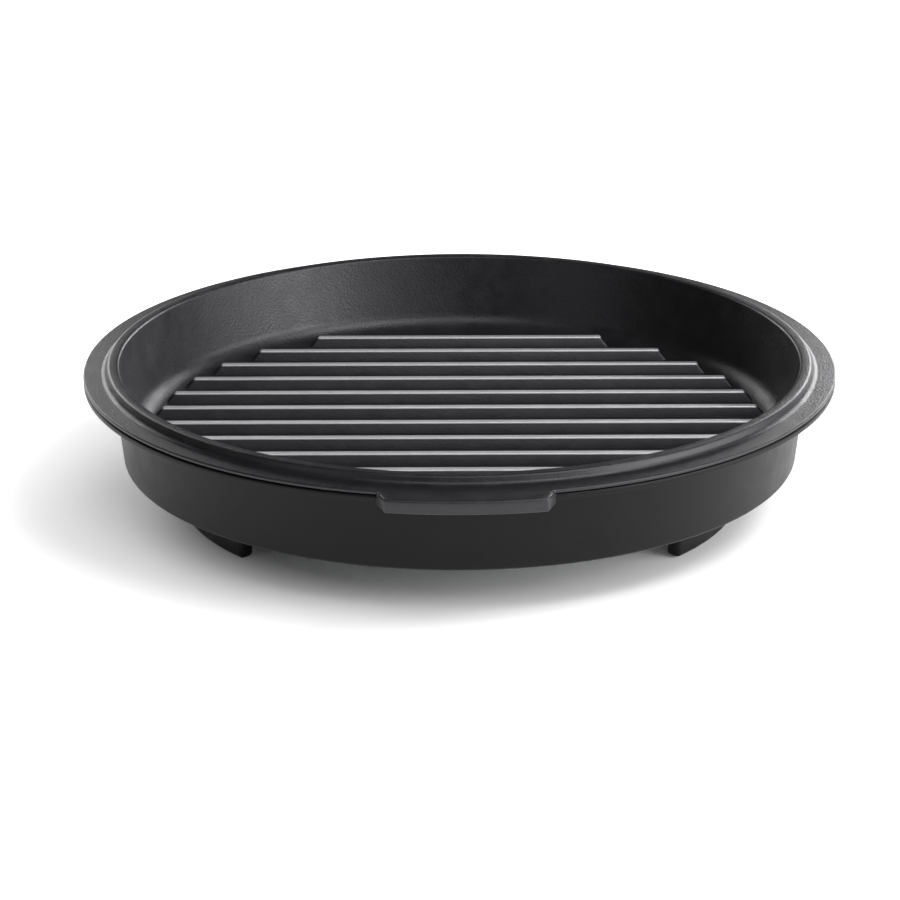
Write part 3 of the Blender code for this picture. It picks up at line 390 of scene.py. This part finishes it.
def pan_screw(head_r, head_tall, shank_long):
    """A cross-recess screw standing on its point, with its head's underside at the origin."""
    screw = turned(
        [
            (0.0, head_tall, 0.0),
            (head_r, head_tall, 0.0011),
            (head_r, 0.0, 0.0002),
            (SHANK_R, 0.0, 0.0002),
            (SHANK_R, 0.0012 - shank_long, 0.0),
            (0.0, -shank_long, 0.0),
        ],
        steps=36, closed=False, segments=4,
    )
    for long_x, long_y in ((head_r * RECESS_SHARE, RECESS_HALF), (RECESS_HALF, head_r * RECESS_SHARE)):
        arm = bmesh.new()
        bmesh.ops.create_cube(arm, size=2.0)
        for vert in arm.verts:
            taper = 1.0 if vert.co.z > 0 else RECESS_TAPER
            vert.co.x *= long_x * taper
            vert.co.y *= long_y * taper
            vert.co.z = head_tall + vert.co.z * RECESS_DEEP
        screw = combine(screw, arm, "DIFFERENCE")
    return screw


def drive_screw(name, node, head_r, head_tall, long, place, turn):
    """Puts a screw with its head's underside at place, and lets it stand for its CAD node."""
    screw = moved(pan_screw(head_r, head_tall, long - head_tall), place, turn)
    fit(add_piece(name, screw), screw_steel, "screw_steel", "base", node)


def any_turn(first, step, i):
    """How far round each head happened to stop."""
    return Matrix.Rotation(math.radians(first + step * i), 3, "Z")


for i, place in enumerate(foot_screw_places):
    node = f"foot_screw_{i + 1}"
    screw_low, screw_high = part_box(node)
    seat = place + Vector((0, 0, screw_high.z - HEAD_TALL))
    long = screw_high.z - screw_low.z
    drive_screw(f"foot_screw_pan_{i + 1}", node, HEAD_R, HEAD_TALL, long, seat, any_turn(23.0, 31.0, i))


# Bottom cover.
# A shallow dish pressed from 1 mm zinc-coated sheet. It closes the service opening from below, with a ring of
# cooling slots, a mouth at the rear for the leads, and four screws up into the base's floor.
zinc_sheet = surface(
    "zinc_coated_sheet", dark=(0.36, 0.37, 0.38), light=(0.52, 0.53, 0.54),
    patch=0.009, rough=(0.34, 0.52), grain=0.0007, depth=0.000006, metallic=1.0,
)
COVER_SHEET, HOLE_R = 0.0010, 0.0020
cover_low, cover_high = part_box("bottom_cover")
COVER_R = 0.1170
cover = turned(
    [
        (0.0, cover_low.z, 0.0),
        (0.10060, cover_low.z, 0.0030),
        (0.10603, cover_high.z - COVER_SHEET, 0.0010),
        (COVER_R, cover_high.z - COVER_SHEET, 0.0),
        (COVER_R, cover_high.z, 0.0),
        (0.10538, cover_high.z, 0.0020),
        (0.09996, cover_low.z + COVER_SHEET, 0.0020),
        (0.0, cover_low.z + COVER_SHEET, 0.0),
    ],
    closed=False,
)


def block(bm, low, high):
    """Adds a plain block between two corners."""
    made = bmesh.ops.create_cube(bm, size=2.0)
    middle, half = (Vector(low) + Vector(high)) / 2, (Vector(high) - Vector(low)) / 2
    for vert in made["verts"]:
        vert.co = Vector([middle[k] + vert.co[k] * half[k] for k in range(3)])


def rounded_bar(low, high, along, corner, segments):
    """A block whose four corners along one axis are rounded: 0 is X, 1 is Y and 2 is Z."""
    bm = bmesh.new()
    block(bm, low, high)
    long_edges = [e for e in bm.edges if abs(e.verts[0].co[along] - e.verts[1].co[along]) > 0.001]
    round_edges(bm, long_edges, corner, segments, clamp=False)
    return bm


SLOT_NEAR, SLOT_FAR, SLOT_HALF, SLOT_END_R, SLOT_COUNT = 0.028, 0.048, 0.002, 0.0019, 12
cuts = bmesh.new()
for slot in range(SLOT_COUNT):
    slot_low = (SLOT_NEAR, -SLOT_HALF, cover_low.z - 0.002)
    slot_high = (SLOT_FAR, SLOT_HALF, cover_low.z + 0.003)
    slot_box = rounded_bar(slot_low, slot_high, 2, SLOT_END_R, 4)
    moved(slot_box, turn=Matrix.Rotation(math.radians(360.0 / SLOT_COUNT * (slot + 0.5)), 3, "Z"))
    loose = bpy.data.meshes.new("slot")
    slot_box.to_mesh(loose)
    slot_box.free()
    cuts.from_mesh(loose)
    bpy.data.meshes.remove(loose)
for angle in ring_screw_angles:
    add_rod(cuts, HOLE_R, on_ring(RING_SCREW_R, angle, 0.016), on_ring(RING_SCREW_R, angle, 0.026))
block(cuts, (-0.017, 0.0950, 0.0115), (0.017, 0.1120, 0.0175))
cover = add_piece("cover_dish", combine(cover, cuts, "DIFFERENCE"))
fit(cover, zinc_sheet, "zinc_sheet", "base", "bottom_cover")

upside_down = Matrix.Rotation(math.pi, 3, "X")
for i, angle in enumerate(ring_screw_angles):
    node = f"cover_screw_{i + 1}"
    screw_low, screw_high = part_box(node)
    seat = on_ring(RING_SCREW_R, angle, screw_low.z + HEAD_TALL)
    long = screw_high.z - screw_low.z
    turn = any_turn(17.0, 43.0, i) @ upside_down
    drive_screw(f"cover_screw_pan_{i + 1}", node, HEAD_R, HEAD_TALL, long, seat, turn)


# Terminal box.
# Moulded in the feet's phenolic. It stands behind the wall, with a duct under the base for the leads, a lid
# pushed in from below, and two screws up into the base's floor.
def merged_copy(name, node):
    """A node's own shape with its triangles merged into flat faces."""
    bm = bmesh.new()
    bm.from_mesh(bpy.data.objects[node].data)
    bmesh.ops.remove_doubles(bm, verts=bm.verts, dist=0.000002)
    bmesh.ops.dissolve_limit(bm, angle_limit=math.radians(1.5), verts=bm.verts, edges=bm.edges)
    return add_piece(name, bm)


fit(merged_copy("terminal_case", "terminal_box"), phenolic, "phenolic", "base", "terminal_box")
fit(merged_copy("terminal_lid", "terminal_box_lid"), phenolic, "phenolic", "base", "terminal_box_lid")
for i, place in enumerate(box_screw_places):
    node = f"box_screw_{i + 1}"
    screw_low, screw_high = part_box(node)
    seat = place + Vector((0, 0, screw_low.z + HEAD_TALL))
    long = screw_high.z - screw_low.z
    drive_screw(f"box_screw_pan_{i + 1}", node, HEAD_R, HEAD_TALL, long, seat, upside_down)


# Appliance inlet.
# A moulded phenolic socket with three flat brass prongs, for a lead that unplugs. Its flange covers the box's
# mouth, and two screws hold it.
brass = surface(
    "drawn_brass", dark=(0.60, 0.42, 0.16), light=(0.74, 0.54, 0.24),
    patch=0.002, rough=(0.20, 0.32), grain=0.0003, depth=0.000003, metallic=1.0, stretch=(1.0, 0.15, 1.0),
)
INLET_Z, INLET_HALF_X, INLET_HALF_Z, INLET_WALL = 0.0330, 0.0137, 0.0087, 0.0015
inlet_low, inlet_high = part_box("inlet_socket")
FLANGE_Y = 0.1723
FLANGE_HALF_X, FLANGE_THICK = 0.0225, 0.0028
socket_low = (-FLANGE_HALF_X, FLANGE_Y, inlet_low.z)
socket_high = (FLANGE_HALF_X, FLANGE_Y + FLANGE_THICK, inlet_high.z)
socket = rounded_bar(socket_low, socket_high, 1, 0.0030, 6)
soften(socket, 0.0006, 3)


def shroud(half_x, half_z, front, rear, corner):
    return rounded_bar((-half_x, front, INLET_Z - half_z), (half_x, rear, INLET_Z + half_z), 1, corner, 6)


outside = soften(shroud(INLET_HALF_X, INLET_HALF_Z, inlet_low.y, inlet_high.y, 0.0022), 0.0003, 2, 60.0)
socket = combine(socket, outside, "UNION")
HOLLOW_FLOOR_Y = 0.1662
hollow = shroud(
    INLET_HALF_X - INLET_WALL, INLET_HALF_Z - INLET_WALL, HOLLOW_FLOOR_Y, inlet_high.y + 0.003, 0.0012
)
socket = combine(socket, hollow, "DIFFERENCE")
prong_holes = bmesh.new()
for word in ("live", "neutral", "earth"):
    prong_low, prong_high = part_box("inlet_prong_" + word)
    block(
        prong_holes,
        (prong_low.x - GAP, inlet_low.y - 0.002, prong_low.z - GAP),
        (prong_high.x + GAP, HOLLOW_FLOOR_Y + 0.0018, prong_high.z + GAP),
    )
    prong = bmesh.new()
    block(prong, prong_low, prong_high)
    nose = [e for e in prong.edges if all(v.co.y > prong_high.y - 0.0001 for v in e.verts)]
    round_edges(prong, nose, 0.0008, 3, clamp=False)
    soften(prong, 0.00012, 2, 60.0)
    fit(add_piece("prong_" + word, prong), brass, "brass", "base", "inlet_prong_" + word)
inlet_screw_x = (-0.0180, 0.0180)
for x in inlet_screw_x:
    add_rod(prong_holes, SHANK_R + GAP, (x, FLANGE_Y - 0.002, INLET_Z), (x, FLANGE_Y + 0.006, INLET_Z))
socket = combine(socket, prong_holes, "DIFFERENCE")
fit(add_piece("inlet_shroud", socket), phenolic, "phenolic", "base", "inlet_socket")
head_back = Matrix.Rotation(math.radians(-90.0), 3, "X")
SMALL_HEAD_R, SMALL_HEAD_TALL = 0.0028, 0.0016
for i in range(len(inlet_screw_x)):
    node = f"inlet_screw_{i + 1}"
    screw_low, screw_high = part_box(node)
    seat = Vector(((screw_low.x + screw_high.x) / 2, screw_high.y - SMALL_HEAD_TALL, INLET_Z))
    long = screw_high.y - screw_low.y
    drive_screw(f"inlet_screw_pan_{i + 1}", node, SMALL_HEAD_R, SMALL_HEAD_TALL, long, seat, head_back)


# Wiring and switchgear inside the base.
# Ceramic terminal block, heat-proof sleeved leads, thermal fuse, earth tab, sensor holder and switch body,
# shut in between the cover and the reflector. The two wound steel springs are copied as they stand, each
# with a mesh of its own.
ceramic = surface(
    "glazed_ceramic", dark=(0.66, 0.64, 0.58), light=(0.76, 0.74, 0.69),
    patch=0.004, rough=(0.30, 0.48), grain=0.0004, depth=0.000006,
)
spring_steel = surface(
    "spring_steel", dark=(0.32, 0.32, 0.33), light=(0.46, 0.46, 0.47),
    patch=0.003, rough=(0.26, 0.38), grain=0.0003, depth=0.000003, metallic=1.0,
)
lead_brown = surface(
    "brown_sleeve", dark=(0.090, 0.036, 0.016), light=(0.130, 0.055, 0.026),
    patch=0.004, rough=(0.55, 0.70), grain=0.0005, depth=0.000030,
)
lead_blue = surface(
    "blue_sleeve", dark=(0.020, 0.070, 0.240), light=(0.035, 0.100, 0.320),
    patch=0.004, rough=(0.55, 0.70), grain=0.0005, depth=0.000030,
)
lead_green = surface(
    "green_yellow_sleeve", dark=(0.045, 0.200, 0.030), light=(0.560, 0.460, 0.040),
    patch=0.004, rough=(0.55, 0.70), grain=0.0005, depth=0.000030,
)
fuse_case = surface(
    "fuse_case", dark=(0.48, 0.46, 0.42), light=(0.62, 0.60, 0.56),
    patch=0.003, rough=(0.28, 0.42), grain=0.0003, depth=0.000003, metallic=1.0,
)


def finish_node(node, material):
    """Puts a finish on a shape that stays as the frame has it."""
    kept = bpy.data.objects[node]
    if not kept.material_slots:
        kept.data.materials.append(material)
    for material_slot in kept.material_slots:
        material_slot.material = material


for node in ("terminal_block", "thermostat_capsule"):
    finish_node(node, ceramic)
for node in ("live_lead", "fuse_lead", "switch_lead", "sensor_feed_lead", "sensor_return_lead"):
    finish_node(node, lead_brown)
for node in ("neutral_lead", "neutral_feed_lead"):
    finish_node(node, lead_blue)
finish_node("earth_lead", lead_green)
finish_node("earth_tab", brass)
finish_node("thermal_fuse", fuse_case)
finish_node("thermostat_holder", zinc_sheet)
finish_node("switch_body", phenolic)
spring_travels = (("sensor_spring", "sensor_travel", 0.0025), ("switch_spring", "switch_travel", 0.0020))
for node, joint, travel in spring_travels:
    coil = merged_copy(node.replace("spring", "coil"), node)
    fit(coil, spring_steel, "spring_steel", "base", node)
    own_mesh(coil)


# Reflector pan.
# Bright aluminised sheet, 0.6 mm thick. It covers the service opening inside the base, throws the element's
# heat upwards, and shares the cover's four screws.
bright_sheet = surface(
    "aluminised_sheet", dark=(0.66, 0.66, 0.66), light=(0.80, 0.80, 0.79),
    patch=0.014, rough=(0.16, 0.28), grain=0.0009, depth=0.000005, metallic=1.0,
)
pan_low, pan_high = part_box("reflector_pan")
PAN_SHEET, PAN_R, SENSOR_HOLE_R = 0.0006, 0.1160, 0.0123
pan = turned(
    [
        (PAN_R, pan_high.z, 0.0),
        (0.1048, pan_high.z, 0.0016),
        (0.1002, pan_low.z + PAN_SHEET, 0.0016),
        (SENSOR_HOLE_R, pan_low.z + PAN_SHEET, 0.0),
        (SENSOR_HOLE_R, pan_low.z, 0.0),
        (0.1006, pan_low.z, 0.0022),
        (0.1052, pan_high.z - PAN_SHEET, 0.0010),
        (PAN_R, pan_high.z - PAN_SHEET, 0.0),
    ]
)
OUTER_TURN_R, INNER_TURN_R, LEG_HOLE_R = 0.0950, 0.0600, 0.0041
FIRST_LEG, LAST_LEG = 98.0, 795.0
PIN_AT = Vector((0.0040, 0.0400, 0.0))
pan_cuts = bmesh.new()
for angle in ring_screw_angles:
    add_rod(pan_cuts, HOLE_R, on_ring(RING_SCREW_R, angle, 0.020), on_ring(RING_SCREW_R, angle, 0.028))
for radius, angle in ((OUTER_TURN_R, FIRST_LEG), (INNER_TURN_R, LAST_LEG)):
    add_rod(pan_cuts, LEG_HOLE_R, on_ring(radius, angle, 0.014), on_ring(radius, angle, 0.020), 36)
add_rod(pan_cuts, HOLE_R, PIN_AT + Vector((0, 0, 0.014)), PIN_AT + Vector((0, 0, 0.020)))
pan = add_piece("reflector_dish", combine(pan, pan_cuts, "DIFFERENCE"))
fit(pan, bright_sheet, "bright_sheet", "base", "reflector_pan")


# Heating element.
# A mineral-filled steel tube wound in two turns, dull and heat-tinted. Both ends turn down through the
# reflector to ceramic-collared studs, and three zinc-coated straps hold it off the pan.
element_sheath = surface(
    "heat_tinted_sheath", dark=(0.095, 0.088, 0.082), light=(0.170, 0.152, 0.134),
    patch=0.016, rough=(0.46, 0.62), grain=0.0006, depth=0.000010, metallic=0.6,
)
TUBE_R, TUBE_Z, LEG_BEND_R, LEG_LOW_Z = 0.0033, 0.0236, 0.0070, 0.0150
INWARD_FROM, INWARD_TO = 418.0, 465.0


def wind_radius(degrees):
    share = min(1.0, max(0.0, (degrees - INWARD_FROM) / (INWARD_TO - INWARD_FROM)))
    return OUTER_TURN_R + (INNER_TURN_R - OUTER_TURN_R) * share * share * (3.0 - 2.0 * share)


def leg_bend(radius, degrees, way):
    """Points from a leg's foot up and round into the winding."""
    leg_foot = on_ring(radius, degrees, LEG_LOW_Z)
    side = Vector((-math.sin(math.radians(degrees)), math.cos(math.radians(degrees)), 0.0)) * way
    centre = on_ring(radius, degrees, TUBE_Z - LEG_BEND_R) + side * LEG_BEND_R
    bend = [
        centre - side * LEG_BEND_R * math.cos(math.radians(t))
        + Vector((0, 0, LEG_BEND_R * math.sin(math.radians(t))))
        for t in range(0, 91, 9)
    ]
    return [leg_foot] + bend


winding_start = FIRST_LEG + math.degrees(LEG_BEND_R / OUTER_TURN_R) + 5.0
winding_end = LAST_LEG - math.degrees(LEG_BEND_R / INNER_TURN_R) - 6.0
winding_steps = 320
path = leg_bend(OUTER_TURN_R, FIRST_LEG, 1.0)
for i in range(winding_steps + 1):
    degrees = winding_start + (winding_end - winding_start) * i / winding_steps
    path.append(on_ring(wind_radius(degrees), degrees, TUBE_Z))
path += reversed(leg_bend(INNER_TURN_R, LAST_LEG, -1.0))


def drawn_tube(path, radius, around=20):
    """A ring of edges extruded from point to point along a path, and closed at both ends."""
    bm = bmesh.new()
    ways = [(b - a).normalized() for a, b in zip(path, path[1:])]
    tangents = [ways[0]] + [(a + b).normalized() for a, b in zip(ways, ways[1:])] + [ways[-1]]
    start_turn = Vector((0, 0, 1)).rotation_difference(tangents[0]).to_matrix().to_4x4()
    bmesh.ops.create_circle(
        bm, cap_ends=False, segments=around, radius=radius, matrix=Matrix.Translation(path[0]) @ start_turn
    )
    ring = bm.edges[:]
    for i in range(1, len(path)):
        grown = bmesh.ops.extrude_edge_only(bm, edges=ring)["geom"]
        points = [g for g in grown if isinstance(g, bmesh.types.BMVert)]
        ring = [g for g in grown if isinstance(g, bmesh.types.BMEdge) and all(v in points for v in g.verts)]
        turn = tangents[i - 1].rotation_difference(tangents[i]).to_matrix()
        bmesh.ops.translate(bm, verts=points, vec=path[i] - path[i - 1])
        bmesh.ops.rotate(bm, verts=points, cent=path[i], matrix=turn)
    bmesh.ops.holes_fill(bm, edges=[e for e in bm.edges if len(e.link_faces) == 1], sides=0)
    bmesh.ops.recalc_face_normals(bm, faces=bm.faces)
    return bm


element = add_piece("element_tube", drawn_tube(path, TUBE_R))
fit(element, element_sheath, "element_sheath", "base", "heating_element")
for node in ("element_terminal_1", "element_terminal_2"):
    finish_node(node, ceramic)
for node in ("element_strap_1", "element_strap_2", "element_strap_3"):
    fit(merged_copy("strap_" + node[-1], node), zinc_sheet, "zinc_sheet", "base", node)


# Thermostat sensor and plate pin.
# A drawn aluminium cup stands on its spring and presses against the plate's underside. Beside it a ceramic
# pin does the same, and lets the element heat only while the plate is in place.
bare_aluminium = surface(
    "bare_aluminium", dark=(0.70, 0.70, 0.71), light=(0.82, 0.82, 0.82),
    patch=0.005, rough=(0.24, 0.36), grain=0.0004, depth=0.000005, metallic=1.0,
)
CUP_R, CUP_WALL = 0.0110, 0.0008
cup_low, cup_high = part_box("sensor_cup")
cup = turned(
    [
        (0.0, cup_high.z - CUP_WALL, 0.0),
        (CUP_R - CUP_WALL, cup_high.z - CUP_WALL, 0.0005),
        (CUP_R - CUP_WALL, cup_low.z, 0.0002),
        (CUP_R, cup_low.z, 0.0002),
        (CUP_R, cup_high.z, 0.0012),
        (0.0, cup_high.z, 0.0),
    ],
    steps=96, closed=False,
)
fit(add_piece("sensor_cap", cup), bare_aluminium, "bare_aluminium", "sensor", "sensor_cup")
pin_low, pin_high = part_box("switch_pin")
PIN_R, COLLAR_R = 0.0012, 0.0036
pin = turned(
    [
        (0.0, pin_high.z, 0.0),
        (PIN_R, pin_high.z, 0.0007),
        (PIN_R, 0.0235, 0.0),
        (COLLAR_R, 0.0235, 0.0002),
        (COLLAR_R, 0.0226, 0.0002),
        (PIN_R, 0.0226, 0.0),
        (PIN_R, pin_low.z, 0.0002),
        (0.0, pin_low.z, 0.0),
    ],
    steps=48, closed=False, segments=4,
)
fit(add_piece("plate_pin", moved(pin, PIN_AT)), ceramic, "ceramic", "switch_button", "switch_pin")


# Grill plate.
# Gravity-cast aluminium with a sprayed black non-stick coating: a ribbed floor, a drafted wall with a thick
# raised lip, a thin flange that rests on the base, and a cast lifting tab at the front.
nonstick = surface(
    "nonstick_coating", dark=(0.0110, 0.0111, 0.0122), light=(0.0160, 0.0161, 0.0176),
    patch=0.010, rough=(0.33, 0.42), grain=0.0011, depth=0.000140, ior=1.44,
)
plate_low, plate_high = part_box("grill_plate")
FLANGE_R, FLANGE_TOP, FLANGE_UNDER = 0.1700, 0.0628, 0.0612
FLOOR_Z, COVE_EDGE_R = 0.03165, 0.1383
lip = [
    (COVE_EDGE_R - 0.0030, FLOOR_Z, 0.0),
    (0.146326, FLOOR_Z, 0.0100),
    (0.154052, plate_high.z, 0.0013),
    (0.1590, plate_high.z, 0.0013),
    (0.1604, FLANGE_TOP, 0.0025),
    (FLANGE_R, FLANGE_TOP, 0.0007),
    (FLANGE_R, FLANGE_UNDER, 0.0005),
    (0.155540, FLANGE_UNDER, 0.0010),
    (0.148412, plate_low.z, 0.0126),
    (COVE_EDGE_R - 0.0030, plate_low.z, 0.0),
]
plate = turned(lip, steps=240, closed=False, segments=8)

RIB_TOP, RIB_FOOT, RIB_HEIGHT, RIB_SUNK = 0.0030, 0.0070, 0.0046, 0.0010
RIB_END_R, RIB_END_SLOPE = 0.1373, 0.0050
RIB_COUNT, REAR_RIB_Y, RIB_PITCH = 12, 0.1188, 0.02074
ribs = bmesh.new()
for i in range(RIB_COUNT):
    y = REAR_RIB_Y - RIB_PITCH * i
    crest_half = math.sqrt(RIB_END_R**2 - y**2)
    side_slope = (RIB_FOOT - RIB_TOP) / 2 / RIB_HEIGHT
    foot_half = RIB_FOOT / 2 + side_slope * RIB_SUNK
    rib = bmesh.ops.create_cube(ribs, size=2.0)
    for vert in rib["verts"]:
        top = vert.co.z > 0
        vert.co.x *= crest_half if top else crest_half + RIB_END_SLOPE
        vert.co.y = y + vert.co.y * (RIB_TOP / 2 if top else foot_half)
        vert.co.z = FLOOR_Z + (RIB_HEIGHT if top else -RIB_SUNK)
crests = [e for e in ribs.edges if max(v.co.z for v in e.verts) > FLOOR_Z]
round_edges(ribs, crests, 0.0007, 3)
plate = combine(plate, ribs, "UNION")

TAB_OUT_R, TAB_THICK, TAB_CLEAR, TAB_FACING = -plate_low.y, 0.0062, 0.00035, -89.1
TAB_ROOT_HALF, TAB_TIP_HALF = 0.0369, 0.0335
ROOT_ANGLE = math.degrees(math.asin(TAB_ROOT_HALF / FLANGE_R))
TIP_ANGLE = math.degrees(math.asin(TAB_TIP_HALF / TAB_OUT_R))
tab_top = FLANGE_TOP - 0.00003
inner_r = FLANGE_R + TAB_CLEAR
middle_r, wide = (inner_r + TAB_OUT_R) / 2, TAB_OUT_R - inner_r
tab = arc_bar(middle_r, wide, FLANGE_TOP - TAB_THICK, tab_top, 0.0, 2 * ROOT_ANGLE)
for vert in tab.verts:
    radius = vert.co.xy.length
    angle = math.atan2(vert.co.y, vert.co.x)
    angle *= 1 + (radius - inner_r) / wide * (TIP_ANGLE / ROOT_ANGLE - 1)
    vert.co.x, vert.co.y = radius * math.cos(angle), radius * math.sin(angle)
kept = [
    e for e in tab.edges
    if e.calc_face_angle() > 0.7
    and not all(v.co.xy.length < inner_r + 0.0001 and v.co.z > tab_top - 0.0001 for v in e.verts)
]
round_edges(tab, kept, 0.0011, 3)
tongue = arc_bar(FLANGE_R + 0.0010, 0.0040, FLANGE_UNDER + 0.0001, tab_top - 0.00002, 0.0, 2 * ROOT_ANGLE - 0.9)
tab = combine(tab, tongue, "UNION")
moved(tab, turn=Matrix.Rotation(math.radians(TAB_FACING), 3, "Z"))
plate = combine(plate, tab, "UNION")

# Painted highlight: each crest is painted light grey and part metallic down to just under its top, inside the
# dish only.
nodes, links = nonstick.node_tree.nodes, nonstick.node_tree.links
coat = nodes["Principled BSDF"]
coat.inputs["Specular Tint"].default_value = (0.94, 0.94, 1.0, 1.0)
coat_place = nodes["Texture Coordinate"]
apart = nodes.new("ShaderNodeSeparateXYZ")
links.new(coat_place.outputs["Object"], apart.inputs["Vector"])
crest_highlight_height = nodes.new("ShaderNodeMapRange")
RIB_CREST_Z, HIGHLIGHT_NONE, HIGHLIGHT_FULL = FLOOR_Z + RIB_HEIGHT, 0.0009, 0.0003
crest_highlight_height.inputs["From Min"].default_value = RIB_CREST_Z - HIGHLIGHT_NONE
crest_highlight_height.inputs["From Max"].default_value = RIB_CREST_Z - HIGHLIGHT_FULL
links.new(apart.outputs["Z"], crest_highlight_height.inputs["Value"])
level = nodes.new("ShaderNodeVectorMath")
level.operation = "MULTIPLY"
level.inputs[1].default_value = (1.0, 1.0, 0.0)
links.new(coat_place.outputs["Object"], level.inputs[0])
outward = nodes.new("ShaderNodeVectorMath")
outward.operation = "LENGTH"
links.new(level.outputs["Vector"], outward.inputs[0])
inside_dish = nodes.new("ShaderNodeMapRange")
inside_dish.inputs["From Min"].default_value = 0.1390
inside_dish.inputs["From Max"].default_value = 0.1380
links.new(outward.outputs["Value"], inside_dish.inputs["Value"])
crest_highlight = nodes.new("ShaderNodeMath")
crest_highlight.operation = "MULTIPLY"
links.new(crest_highlight_height.outputs["Result"], crest_highlight.inputs[0])
links.new(inside_dish.outputs["Result"], crest_highlight.inputs[1])
# Painted highlight colour: light grey on the crests where the mask is full, the coating's own colour elsewhere.
highlight_colour = nodes.new("ShaderNodeMix")
highlight_colour.data_type = "RGBA"  # its colour sockets are inputs 6 and 7 and output 2
links.new(crest_highlight.outputs["Value"], highlight_colour.inputs["Factor"])
links.new(nodes["Color Ramp"].outputs["Color"], highlight_colour.inputs[6])
highlight_colour.inputs[7].default_value = (0.70, 0.70, 0.72, 1.0)
links.new(highlight_colour.outputs[2], coat.inputs["Base Color"])
highlight_metal = nodes.new("ShaderNodeMath")
highlight_metal.operation = "MULTIPLY"
highlight_metal.inputs[1].default_value = 0.6
links.new(crest_highlight.outputs["Value"], highlight_metal.inputs[0])
links.new(highlight_metal.outputs["Value"], coat.inputs["Metallic"])
fit(add_piece("ribbed_plate", plate), nonstick, "nonstick_plate", "plate", "grill_plate")
